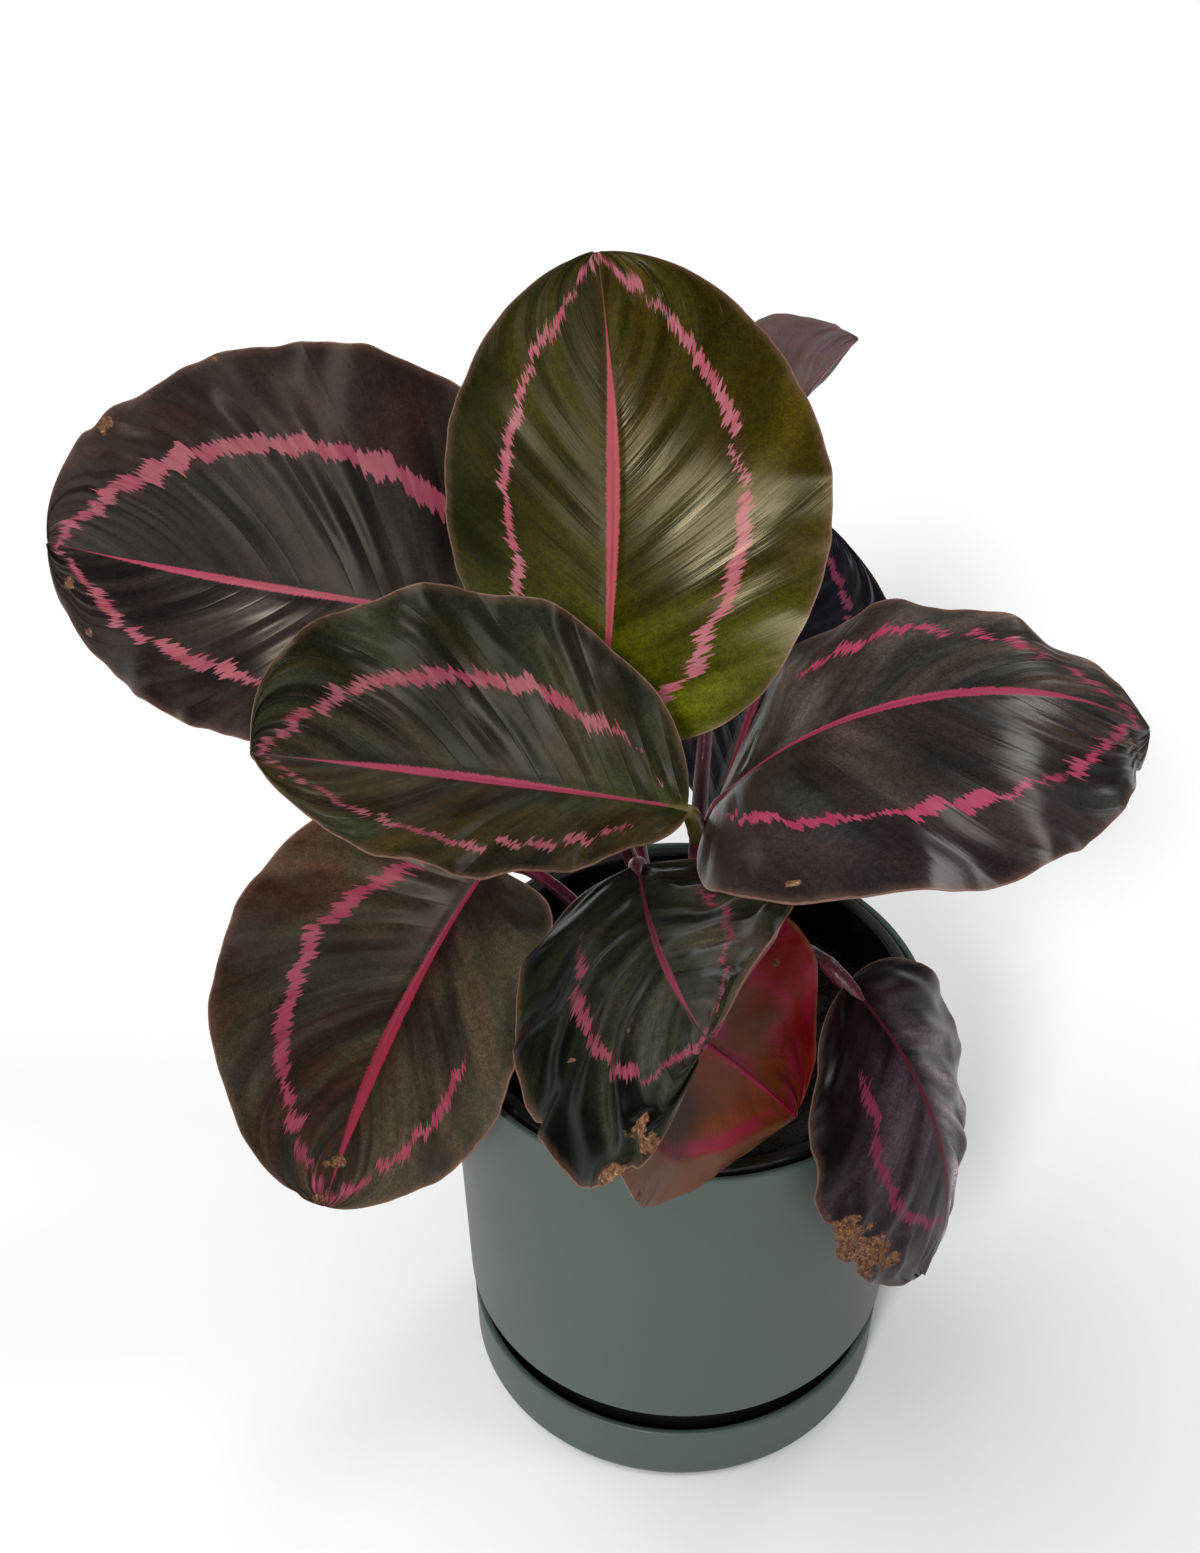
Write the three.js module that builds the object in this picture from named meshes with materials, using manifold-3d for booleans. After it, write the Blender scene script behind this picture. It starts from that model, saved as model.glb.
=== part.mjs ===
// A potted calathea: ten broad oval leaves on bare stalks, in a black grow pot that stands in a straight-
// sided grey-green plastic pot with its own saucer. Millimetres, +Z up, origin at the centre of the
// saucer's underside, -Y towards the side the plant is looked at from.
import * as THREE from 'three';
import { mergeVertices } from 'three/addons/utils/BufferGeometryUtils.js';
import Module from 'manifold-3d';

const wasm = await Module();
wasm.setup();

// ---- Pot and saucer -------------------------------------------------------------------------------------
const POT_HEIGHT = 158;          // top of the rim above the table
const RIM_RADIUS = 77.5;         // outside of the rim: a pot sold as 15 cm
const HEM_RADIUS = 72.6;         // outside of the body at its lower edge
const HEM_Z = 36.3;              // lower edge of the body, above the shadow gap
const FOOT_RADIUS = 66;          // the drawn-in foot that stands in the saucer
const POT_WALL = 2.2;
const FLOOR = 3;
const EDGE_EASE = 0.8;           // bevel of the rims
const HEM_EASE = 1.2;            // bevel of the body's lower edge
const FOOT_EASE = 1.5;           // bevel round the foot
const SAUCER_HEIGHT = 25.7;
const SAUCER_TOP_RADIUS = 71.7;
const SAUCER_BASE_RADIUS = 70.8;
const SAUCER_EDGE = 4;           // round of the saucer's bottom edge
const SAUCER_EDGE_STEPS = 3;
const SAUCER_FILLET = 2;         // inside, where the floor meets the wall
const SAUCER_WALL = 2.4;
const SEAT = 0.3;                // air between pieces that rest on one another
const ROUND_SIDES = 44;
const WELD = 1e-4;               // vertices nearer than this are one

// ---- Grow pot and soil ----------------------------------------------------------------------------------
const GROW_TOP = 158.8;          // its lip stands a little above the rim round it
const GROW_LIP_RADIUS = 74.3;
const GROW_LIP_DEPTH = 6;
const GROW_TOP_RADIUS = 71;      // outside, just under the lip
const GROW_BASE_RADIUS = 56;
const GROW_WALL = 1.2;
const GROW_FLOOR = 1.5;
const SOIL_TOP = 138;
const SOIL_MOUND = 4;            // how far the soil rises round the stalks
const SOIL_RINGS = [45, 34, 22, 10];  // the mound starts at the first
const DRAIN_RADIUS = 5;
const POT_DRAINS = 4;
const POT_DRAIN_RING = 36;
const GROW_DRAINS = 6;
const GROW_DRAIN_RING = 38;
const DRAIN_SIDES = 10;
const DRILL_PAST = 1;            // how far a drill runs past what it cuts

// ---- Leaves and stalks ----------------------------------------------------------------------------------
const BLADE_THICKNESS = 0.8;
const RIB_HALF_WIDTH = 2.2;
const RIB_WIDEST_SHARE = 0.15;   // of the half width, where the blade is narrow
const RIB_DEPTH_BASE = 1.7;      // how far the midrib stands out beneath, at the stalk
const RIB_DEPTH_TIP = 0.3;
const BLADE_START = 0.004;       // the blade begins and ends a little inside its length, so it has ends
const BLADE_END = 0.9995;
const LOBE_REACH = 0.3;          // the part of the length over which the base is set back beside the stalk
const WAVE_SETTLE = 1 / 6;       // the part of the length at either end over which the margin's waves rise
const STATIONS = 18;             // along the blade
const SPREAD = [-1, -0.74, -0.46, -0.2, 'rib', 0, 'rib', 0.2, 0.46, 0.74, 1];
const MIDRIB_STEPS = 60;
const NORMAL_STEP = 0.002;       // share of the half width between the two points a normal is taken from

const STALK_DEPTH = 26;          // how deep a stalk stands in the soil
const STALK_BASE_RADIUS = 3.1;
const STALK_TOP_RADIUS = 2.1;
const STALK_TAPER = [0.3, 0.85]; // shares of the stalk's length between which it thins
const COLLAR_RISE = 2;           // how far a stalk still runs upright above the soil
const KNEE_RADIUS = 2.6;         // the swollen joint just below the blade
const KNEE_START = 0.88;         // share of the stalk's length
const KNEE_DROP = 1.5;           // how far the joint's axis lies under the blade's face
const STALK_SIDES = 8;
const STALK_STEPS = 16;
const HOLE_CLEARANCE = 0.4;

// Each leaf: where its stalk meets it, the way its midrib sets out (heading turns from +X to +Y, rise is up
// from level) and what that loses or gains by the tip (sway, droop), how its face is turned about the
// midrib (roll at the base, twist by the tip), the blade's length, its half widths at five even places from
// base to tip on either side, how blunt or drawn out the tip is, the fold and curl of each side, the
// set-back of its base and the waves of its margin. root is where the stalk leaves the soil, sweep how far
// it runs upright and how far in line with the blade.
const LEAVES = {
  top: {
    at: [-29, -2, 263], heading: 80, sway: 22, rise: 66, droop: 23,
    roll: -12, twist: 10, length: 142, tip: 0.5,
    left: [55, 55, 54, 54, 52], right: [62, 66, 66, 59, 52],
    fold: [-3, 9], curl: [-25, -11], lobe: 4,
    wave: 1.6, waves: 3.2, phase: 0.1, root: [-8, 8], sweep: [60, 30],
  },
  left_back: {
    at: [-56, 58, 263], heading: 190, sway: -41, rise: 14, droop: 21,
    roll: -35, twist: -23, length: 158, tip: 0.55,
    left: [52, 49, 48, 50, 52], right: [88, 84, 77, 67, 62],
    fold: [2, 24], curl: [-23, -1], lobe: 8,
    wave: 2.4, waves: 4.1, phase: 0.4, root: [-12, 18], sweep: [70, 26],
  },
  left_front: {
    at: [-5, -43, 271], heading: 177, sway: 25, rise: 8, droop: -15,
    roll: -5, twist: -8, length: 122, tip: 0.4,
    left: [40, 46, 50, 51, 48], right: [57, 63, 58, 50, 46],
    fold: [20, 25], curl: [-6, -1], lobe: 0,
    wave: 1.8, waves: 3.6, phase: 0.7, root: [-2, -9], sweep: [74, 6],
  },
  right: {
    at: [3, -40, 271], heading: -7, sway: 24, rise: 59, droop: 101,
    roll: -6, twist: 33, length: 138, tip: 0.7,
    left: [49, 52, 43, 25, 32], right: [71, 76, 74, 62, 55],
    fold: [4, 10], curl: [-19, -8], lobe: 7,
    wave: 2.0, waves: 4.4, phase: 0.2, root: [14, -1], sweep: [60, 14],
  },
  right_back: {
    at: [7, 25, 212], heading: 74, sway: -3, rise: 12, droop: -9,
    roll: 33, twist: 7, length: 132, tip: 0.55,
    left: [46, 48, 48, 46, 42], right: [52, 54, 66, 62, 74],
    fold: [23, 8], curl: [-3, -15], lobe: 5,
    wave: 1.8, waves: 3.3, phase: 0.5, root: [12, 12], sweep: [50, 14],
  },
  back: {
    at: [9, 58, 294], heading: 62, sway: -7, rise: 43, droop: 40,
    roll: -72, twist: -6, length: 88, tip: 0.95,
    left: [36, 36, 36, 33, 29], right: [36, 39, 39, 35, 29],
    fold: [16, 29], curl: [-8, 1], lobe: 5,
    wave: 1.5, waves: 2.6, phase: 0.3, root: [1, 4], sweep: [80, 24],
  },
  low_left: {
    at: [-63, 10, 205], heading: 226, sway: 7, rise: -36, droop: 27,
    roll: 0, twist: -33, length: 123, tip: 0.65,
    left: [64, 50, 51, 50, 42], right: [63, 62, 60, 56, 51],
    fold: [24, 24], curl: [-2, -2], lobe: 12,
    wave: 1.6, waves: 3.4, phase: 0.8, root: [-20, 6], sweep: [44, 8],
  },
  low_front: {
    at: [-18, -33, 242], heading: 273, sway: 13, rise: 10, droop: -11,
    roll: 1, twist: 39, length: 102, tip: 0.35,
    left: [44, 45, 44, 44, 46], right: [57, 54, 51, 56, 70],
    fold: [12, -9], curl: [-4, -27], lobe: 1,
    wave: 2.4, waves: 4.3, phase: 0.0, root: [-14, -2], sweep: [50, 14],
  },
  low_turned: {
    at: [-22, -80, 236], heading: 21, sway: 8, rise: -46, droop: 11,
    roll: 205, twist: 33, length: 93, tip: 0.65,
    left: [35, 46, 52, 50, 43], right: [32, 44, 52, 49, 43],
    fold: [25, -5], curl: [-1, -20], lobe: 5,
    wave: 1.2, waves: 2.7, phase: 0.6, root: [-20, -14], sweep: [40, 24],
  },
  low_right: {
    at: [45, -36, 200], heading: 325, sway: 6, rise: -34, droop: 74,
    roll: 9, twist: -9, length: 122, tip: 0.6,
    left: [56, 46, 26, 28, 28], right: [35, 44, 50, 49, 46],
    fold: [-7, -6], curl: [-24, -24], lobe: 0,
    wave: 1.4, waves: 4.6, phase: 0.4, root: [30, 2], sweep: [40, 20],
  },
};

const paint = (color, roughness) => new THREE.MeshStandardMaterial({ color, roughness, metalness: 0 });
const FINISH = {
  pot: paint(0x5f6e6c, 0.5),
  grow: paint(0x101211, 0.45),
  soil: paint(0x2a2019, 0.95),
  olive: paint(0x4a4a14, 0.3),
  dark: paint(0x2c2224, 0.35),
  turned: paint(0x7a2c22, 0.45),
  stalk: paint(0x7c2036, 0.4),
};

const rad = THREE.MathUtils.degToRad;

// ---- Solids ---------------------------------------------------------------------------------------------

// A geometry with its doubled vertices joined and its empty triangles dropped, ready to be cut.
function weld(geometry) {
  const plain = geometry.clone();
  plain.deleteAttribute('normal');
  plain.deleteAttribute('uv');
  const merged = mergeVertices(plain, WELD);
  const corners = [];
  for (let i = 0; i < merged.index.count; i += 3) {
    const [a, b, c] = [0, 1, 2].map((k) => merged.index.getX(i + k));
    if (a !== b && b !== c && c !== a) corners.push(a, b, c);
  }
  return new wasm.Manifold(new wasm.Mesh({
    numProp: 3,
    vertProperties: new Float32Array(merged.attributes.position.array),
    triVerts: new Uint32Array(corners),
  }));
}

function unweld(solid) {
  const mesh = solid.getMesh();
  const geometry = new THREE.BufferGeometry();
  geometry.setAttribute('position', new THREE.BufferAttribute(mesh.vertProperties, 3));
  geometry.setIndex(new THREE.BufferAttribute(mesh.triVerts, 1));
  return geometry;
}

// Revolves [radius, height] points about +Z.
function turned(profile) {
  const points = profile.map(([radius, height]) => new THREE.Vector2(radius, height));
  return new THREE.LatheGeometry(points, ROUND_SIDES).rotateX(Math.PI / 2);
}

function uprightRod(x, y, bottom, top, radius) {
  const rod = new THREE.CylinderGeometry(radius, radius, top - bottom, DRAIN_SIDES).rotateX(Math.PI / 2);
  return rod.translate(x, y, (top + bottom) / 2);
}

function bored(geometry, rods) {
  let solid = weld(geometry);
  for (const rod of rods) solid = solid.subtract(weld(rod));
  return unweld(solid);
}

function drains(count, ring, bottom, top) {
  return Array.from({ length: count }, (_, i) => {
    const turn = (2 * Math.PI * (i + 0.5)) / count;
    return uprightRod(ring * Math.cos(turn), ring * Math.sin(turn), bottom, top, DRAIN_RADIUS);
  });
}

// ---- Pots and soil --------------------------------------------------------------------------------------

function saucerShape() {
  const inner = SAUCER_BASE_RADIUS - SAUCER_WALL;
  const profile = [[0, 0]];
  for (let i = 0; i <= SAUCER_EDGE_STEPS; i += 1) {
    const turn = (Math.PI / 2) * (i / SAUCER_EDGE_STEPS);
    profile.push([
      SAUCER_BASE_RADIUS - SAUCER_EDGE + SAUCER_EDGE * Math.sin(turn),
      SAUCER_EDGE - SAUCER_EDGE * Math.cos(turn),
    ]);
  }
  profile.push(
    [SAUCER_TOP_RADIUS, SAUCER_HEIGHT - EDGE_EASE], [SAUCER_TOP_RADIUS - EDGE_EASE, SAUCER_HEIGHT],
    [SAUCER_TOP_RADIUS - SAUCER_WALL, SAUCER_HEIGHT],
    [inner, FLOOR + SAUCER_FILLET], [inner - SAUCER_FILLET, FLOOR], [0, FLOOR],
  );
  return turned(profile);
}

const POT_BASE = FLOOR + SEAT;
const POT_FLOOR_TOP = POT_BASE + FLOOR;

function outerPotShape() {
  const foot = FOOT_RADIUS - POT_WALL;
  const ledge = HEM_Z + POT_WALL + HEM_EASE;
  const profile = [
    [0, POT_BASE], [FOOT_RADIUS - FOOT_EASE, POT_BASE], [FOOT_RADIUS, POT_BASE + FOOT_EASE],
    [FOOT_RADIUS, HEM_Z + HEM_EASE], [HEM_RADIUS - HEM_EASE, HEM_Z], [HEM_RADIUS, HEM_Z + HEM_EASE],
    [RIM_RADIUS, POT_HEIGHT - EDGE_EASE], [RIM_RADIUS - EDGE_EASE, POT_HEIGHT],
    [RIM_RADIUS - POT_WALL + EDGE_EASE / 2, POT_HEIGHT], [RIM_RADIUS - POT_WALL, POT_HEIGHT - EDGE_EASE],
    [HEM_RADIUS - POT_WALL, ledge], [foot, ledge], [foot, POT_FLOOR_TOP], [0, POT_FLOOR_TOP],
  ];
  const drills = drains(POT_DRAINS, POT_DRAIN_RING, POT_BASE - DRILL_PAST, POT_FLOOR_TOP + DRILL_PAST);
  return bored(turned(profile), drills);
}

const GROW_BASE = POT_FLOOR_TOP + SEAT;
const GROW_FLOOR_TOP = GROW_BASE + GROW_FLOOR;

// Outside radius of the grow pot's wall at a height.
function growRadius(z) {
  const share = (z - GROW_BASE) / (GROW_TOP - GROW_LIP_DEPTH - GROW_BASE);
  return GROW_BASE_RADIUS + (GROW_TOP_RADIUS - GROW_BASE_RADIUS) * share;
}

function growPotShape() {
  const lipBottom = GROW_TOP - GROW_LIP_DEPTH;
  const inner = (z) => growRadius(z) - GROW_WALL;
  const mouth = inner(lipBottom);
  const profile = [
    [0, GROW_BASE], [growRadius(GROW_BASE), GROW_BASE], [growRadius(lipBottom), lipBottom],
    [GROW_LIP_RADIUS, lipBottom + EDGE_EASE], [GROW_LIP_RADIUS, GROW_TOP - EDGE_EASE],
    [GROW_LIP_RADIUS - EDGE_EASE, GROW_TOP], [mouth + EDGE_EASE, GROW_TOP], [mouth, GROW_TOP - EDGE_EASE],
    [mouth, lipBottom], [inner(GROW_FLOOR_TOP), GROW_FLOOR_TOP], [0, GROW_FLOOR_TOP],
  ];
  const drills = drains(GROW_DRAINS, GROW_DRAIN_RING, GROW_BASE - DRILL_PAST, GROW_FLOOR_TOP + DRILL_PAST);
  return bored(turned(profile), drills);
}

// Height of the soil at a distance from the pot's axis.
function soilHeight(radius) {
  const share = Math.min(radius / SOIL_RINGS[0], 1);
  return SOIL_TOP + SOIL_MOUND * 0.5 * (1 + Math.cos(Math.PI * share));
}

function soilShape() {
  const wall = (z) => growRadius(z) - GROW_WALL - SEAT;
  const bottom = GROW_FLOOR_TOP + SEAT;
  const profile = [[0, bottom], [wall(bottom), bottom], [wall(SOIL_TOP), SOIL_TOP]];
  for (const radius of SOIL_RINGS) profile.push([radius, soilHeight(radius)]);
  profile.push([0, soilHeight(0)]);
  const holes = Object.values(LEAVES).map(({ root: [x, y] }) => {
    const top = soilHeight(0) + DRILL_PAST;
    return uprightRod(x, y, SOIL_TOP - STALK_DEPTH - SEAT, top, STALK_BASE_RADIUS + HOLE_CLEARANCE);
  });
  return bored(turned(profile), holes);
}

// ---- Leaf blades ----------------------------------------------------------------------------------------

// Directions at a share u of the midrib: along it, across the face to the leaf's left, and out of the face.
function directions(leaf, u) {
  const heading = rad(leaf.heading + leaf.sway * u);
  const pitch = rad(leaf.rise - leaf.droop * u);
  const turn = rad(leaf.roll + leaf.twist * u);
  const along = new THREE.Vector3(
    Math.cos(pitch) * Math.cos(heading), Math.cos(pitch) * Math.sin(heading), Math.sin(pitch),
  );
  const level = new THREE.Vector3(-Math.sin(heading), Math.cos(heading), 0);
  const up = along.clone().cross(level);
  const across = level.clone().multiplyScalar(Math.cos(turn)).addScaledVector(up, Math.sin(turn));
  const out = up.multiplyScalar(Math.cos(turn)).addScaledVector(level, -Math.sin(turn));
  return { along, across, out };
}

// The midrib's points, summed from short straight steps.
function midribPoints(leaf) {
  const points = [new THREE.Vector3(...leaf.at)];
  for (let i = 0; i < MIDRIB_STEPS; i += 1) {
    const { along } = directions(leaf, (i + 0.5) / MIDRIB_STEPS);
    points.push(points[i].clone().addScaledVector(along, leaf.length / MIDRIB_STEPS));
  }
  return points;
}

function midribAt(points, u) {
  const place = Math.min(u * MIDRIB_STEPS, MIDRIB_STEPS - 1e-6);
  const i = Math.floor(place);
  return points[i].clone().lerp(points[i + 1], place - i);
}

// Half the blade's width at u: five side sizes blended along the length, drawn in to nothing at both ends.
function halfWidth(sizes, tip, u) {
  const shares = [1, 4, 6, 4, 1];
  const size = sizes.reduce((sum, w, i) => sum + shares[i] * w * u ** i * (1 - u) ** (4 - i), 0);
  return size * Math.sqrt(2 * u) * (2 * (1 - u)) ** tip;
}

// A point of the blade's upper face: u from stalk to tip, v from -1 at the right margin to 1 at the left.
function bladePoint(leaf, midrib, u, v) {
  const side = v >= 0 ? 0 : 1;
  const reach = Math.abs(v);
  const width = halfWidth(side ? leaf.right : leaf.left, leaf.tip, u) * reach;
  const bend = rad(leaf.curl[side]) * reach;
  const slope = rad(leaf.fold[side]) + bend / 2;
  const chord = Math.abs(bend) < 1e-6 ? width : (width * Math.sin(bend / 2)) / (bend / 2);
  const wave = leaf.wave * reach ** 2 * Math.sin(2 * Math.PI * (leaf.waves * u + leaf.phase + side / 3));
  const settle = Math.min(1, u / WAVE_SETTLE, (1 - u) / WAVE_SETTLE);
  const k = Math.min(u / LOBE_REACH, 1);
  const setBack = 4 * k * (1 - k) * leaf.lobe * reach ** 2;
  const { along, across, out } = directions(leaf, u);
  return midribAt(midrib, u)
    .addScaledVector(across, chord * Math.cos(slope) * (side ? -1 : 1))
    .addScaledVector(out, chord * Math.sin(slope) + wave * settle)
    .addScaledVector(along, -setBack);
}

// Out of the upper face at u, v.
function bladeNormal(leaf, midrib, u, v) {
  const across = bladePoint(leaf, midrib, u, Math.min(v + NORMAL_STEP, 1))
    .sub(bladePoint(leaf, midrib, u, Math.max(v - NORMAL_STEP, -1)));
  const { along } = directions(leaf, u);
  return along.cross(across).normalize();
}

function bladeShape(leaf) {
  const midrib = midribPoints(leaf);
  const columns = SPREAD.length;
  const upper = [];
  const lower = [];
  for (let i = 0; i <= STATIONS; i += 1) {
    const even = (1 - Math.cos((Math.PI * i) / STATIONS)) / 2;
    const u = THREE.MathUtils.lerp(BLADE_START, BLADE_END, even);
    const ribDepth = THREE.MathUtils.lerp(RIB_DEPTH_BASE, RIB_DEPTH_TIP, u);
    SPREAD.forEach((entry, j) => {
      const side = j < columns / 2 ? leaf.right : leaf.left;
      const ribEdge = Math.min(RIB_WIDEST_SHARE, RIB_HALF_WIDTH / halfWidth(side, leaf.tip, u));
      const v = entry === 'rib' ? ribEdge * Math.sign(j - (columns - 1) / 2) : entry;
      const point = bladePoint(leaf, midrib, u, v);
      const depth = BLADE_THICKNESS + (v === 0 ? ribDepth : 0);
      upper.push(point);
      lower.push(point.clone().addScaledVector(bladeNormal(leaf, midrib, u, v), -depth));
    });
  }
  const under = upper.length;
  const at = (i, j) => i * columns + j;
  const faces = [];
  for (let i = 0; i < STATIONS; i += 1) {
    for (let j = 0; j < columns - 1; j += 1) {
      const [a, b, c, d] = [at(i, j), at(i + 1, j), at(i + 1, j + 1), at(i, j + 1)];
      faces.push(a, b, c, a, c, d);
      faces.push(under + a, under + c, under + b, under + a, under + d, under + c);
    }
  }
  const edge = [];
  for (let i = 0; i < STATIONS; i += 1) edge.push(at(i, 0));
  for (let j = 0; j < columns - 1; j += 1) edge.push(at(STATIONS, j));
  for (let i = STATIONS; i > 0; i -= 1) edge.push(at(i, columns - 1));
  for (let j = columns - 1; j > 0; j -= 1) edge.push(at(0, j));
  edge.forEach((a, k) => {
    const b = edge[(k + 1) % edge.length];
    faces.push(a, under + a, under + b, a, under + b, b);
  });
  const geometry = new THREE.BufferGeometry().setFromPoints([...upper, ...lower]);
  geometry.setIndex(faces);
  return geometry;
}

// ---- Stalks ---------------------------------------------------------------------------------------------

// From upright in its hole to in line with the midrib, ending just short of the blade.
function stalkPath(leaf) {
  const [x, y] = leaf.root;
  const [upright, inLine] = leaf.sweep;
  const foot = new THREE.Vector3(x, y, SOIL_TOP - STALK_DEPTH);
  const collar = new THREE.Vector3(x, y, SOIL_TOP + SOIL_MOUND + COLLAR_RISE);
  const { along, out } = directions(leaf, 0);
  const end = new THREE.Vector3(...leaf.at)
    .addScaledVector(along, leaf.length * BLADE_START - SEAT)
    .addScaledVector(out, -KNEE_DROP);
  const path = new THREE.CurvePath();
  path.add(new THREE.LineCurve3(foot, collar));
  path.add(new THREE.CubicBezierCurve3(
    collar,
    collar.clone().add(new THREE.Vector3(0, 0, upright)),
    end.clone().addScaledVector(along, -inLine),
    end,
  ));
  return path;
}

function stalkRadius(share) {
  const thinned = THREE.MathUtils.smoothstep(share, ...STALK_TAPER);
  const plain = THREE.MathUtils.lerp(STALK_BASE_RADIUS, STALK_TOP_RADIUS, thinned);
  return Math.max(plain, share > KNEE_START ? KNEE_RADIUS : 0);
}

function stalkShape(leaf) {
  const path = stalkPath(leaf);
  const frames = path.computeFrenetFrames(STALK_STEPS, false);
  const points = [];
  for (let i = 0; i <= STALK_STEPS; i += 1) {
    const share = i / STALK_STEPS;
    const centre = path.getPointAt(share);
    for (let k = 0; k < STALK_SIDES; k += 1) {
      const turn = (2 * Math.PI * k) / STALK_SIDES;
      points.push(centre.clone()
        .addScaledVector(frames.normals[i], stalkRadius(share) * Math.cos(turn))
        .addScaledVector(frames.binormals[i], stalkRadius(share) * Math.sin(turn)));
    }
  }
  const faces = [];
  const at = (i, k) => i * STALK_SIDES + (k % STALK_SIDES);
  for (let i = 0; i < STALK_STEPS; i += 1) {
    for (let k = 0; k < STALK_SIDES; k += 1) {
      faces.push(at(i, k), at(i, k + 1), at(i + 1, k + 1), at(i, k), at(i + 1, k + 1), at(i + 1, k));
    }
  }
  for (let k = 1; k < STALK_SIDES - 1; k += 1) {
    faces.push(at(0, 0), at(0, k + 1), at(0, k));
    faces.push(at(STALK_STEPS, 0), at(STALK_STEPS, k), at(STALK_STEPS, k + 1));
  }
  const geometry = new THREE.BufferGeometry().setFromPoints(points);
  geometry.setIndex(faces);
  return geometry;
}

// ---- The plant ------------------------------------------------------------------------------------------

const plant = new THREE.Group();

function add(parent, name, geometry, finish) {
  const mesh = new THREE.Mesh(geometry, finish);
  mesh.name = name;
  parent.add(mesh);
}

const holder = new THREE.Group();
add(holder, 'saucer', saucerShape(), FINISH.pot);
add(holder, 'outer_pot', outerPotShape(), FINISH.pot);
add(holder, 'grow_pot', growPotShape(), FINISH.grow);
add(holder, 'soil', soilShape(), FINISH.soil);
plant.add(holder);

const foliage = new THREE.Group();
const BLADE_FINISH = { top: FINISH.olive, low_turned: FINISH.turned };
for (const [name, leaf] of Object.entries(LEAVES)) {
  add(foliage, `leaf_${name}`, bladeShape(leaf), BLADE_FINISH[name] ?? FINISH.dark);
  add(foliage, `stalk_${name}`, stalkShape(leaf), FINISH.stalk);
}
plant.add(foliage);

export default plant;
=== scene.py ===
import math

import bpy
import numpy as np
from bpy.props import FloatProperty, FloatVectorProperty, IntProperty, PointerProperty
from mathutils import Matrix, Vector


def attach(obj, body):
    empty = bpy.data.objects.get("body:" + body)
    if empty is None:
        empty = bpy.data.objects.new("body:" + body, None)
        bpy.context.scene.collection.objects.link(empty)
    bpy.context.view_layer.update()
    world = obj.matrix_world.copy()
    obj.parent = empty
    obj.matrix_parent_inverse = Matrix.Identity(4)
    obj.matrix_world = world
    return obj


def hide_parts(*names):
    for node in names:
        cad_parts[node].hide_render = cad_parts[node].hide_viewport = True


bl_info = {
    "name": "Potted calathea",
    "version": (1, 0, 0),
    "blender": (4, 5, 0),
    "location": "View3D > Sidebar > Calathea",
    "description": "Makes a calathea with ring-marked leaves in a grey-green pot with a saucer",
    "category": "Add Mesh",
}

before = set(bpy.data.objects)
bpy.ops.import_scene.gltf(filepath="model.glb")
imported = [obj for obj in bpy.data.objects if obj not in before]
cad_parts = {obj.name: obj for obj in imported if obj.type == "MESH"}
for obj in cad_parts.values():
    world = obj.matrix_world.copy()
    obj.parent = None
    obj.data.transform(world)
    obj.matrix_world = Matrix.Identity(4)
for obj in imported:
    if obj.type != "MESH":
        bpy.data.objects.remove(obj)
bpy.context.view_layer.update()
MM = 0.001

# ---- Camera: the photograph's frame is 1200 x 1553 ----
FRAME_LONG_SIDE = 1553
FOCAL_PIXELS = 2200
SENSOR = 36.0
AIM = Vector((-29.2, 0, 247.9)) * MM
CAMERA_DISTANCE = 650 * MM
CAMERA_ELEVATION = math.radians(38.4)
CAMERA_ROLL = math.radians(0.69)

# ---- Light: azimuth from the front towards the right, elevation, breadth and strength ----
SHEENLESS = ("fill",)           # lights that nothing mirrors
SKY_COLOUR = (0.95, 0.97, 1.0, 1.0)
LIGHTS = {
    "key": (-20, 38, 10, 1.85),
    "fill": (-95, 62, 60, 2.12),
    "rear": (146, 38, 18, 0.45),
    "rear_left": (-135, 18, 20, 0.2),
    "right_high": (72, 61, 11, 0.45),
    "front_low": (-10, 10, 12, 0.45),
}

# ---- Pots, in millimetres ----
POT_HEIGHT = 158
RIM_RADIUS = 77.5
HEM_RADIUS = 72.6
HEM_Z = 36.3
HEM_LIFT = 1.2                  # the hem slopes up this much to the foot
FOOT_RADIUS = 66
POT_WALL = 2.2
FLOOR = 3
SAUCER_HEIGHT = 25.7
SAUCER_TOP_RADIUS = 71.7
SAUCER_BASE_RADIUS = 70.8
SAUCER_WALL = 2.4
SEAT = 0.3
POT_BASE = FLOOR + SEAT
GROW_TOP = 158.8
GROW_LIP_RADIUS = 74.3
GROW_LIP_DEPTH = 6
GROW_TOP_RADIUS = 71
GROW_BASE_RADIUS = 56
GROW_WALL = 1.2
GROW_FLOOR = 1.5
GROW_BASE = POT_BASE + FLOOR + SEAT
SOIL_TOP = 138
SOIL_MOUND = 4
SOIL_MOUND_RADIUS = 45
DRAIN_RADIUS = 5
POT_DRAINS = 4
POT_DRAIN_RING = 36
GROW_DRAINS = 6
GROW_DRAIN_RING = 38
LATHE_SIDES = 192
DRILL_SIDES = 32
PAINTED_SHADE_RADIUS = 69 * MM          # the foot and the saucer's inside lie within it, and get painted shade, near black
ARC_STEPS = 7

# ---- Potting mix: rings of its surface, and what is scattered over whatever lies level enough ----
SOIL_RING_STEP = 1.6
SOIL_SEED = 4
GRIT_SEED_SHIFT = 11
LEVEL_ENOUGH = 0.7
LUMP_HEIGHT = 6 * MM
FULL_TURN = (6.28, 6.28, 6.28)
BEAD_LEAST = (0.45, 0.45, 0.35)
BEAD_MOST = (1.5, 1.2, 0.9)

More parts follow.
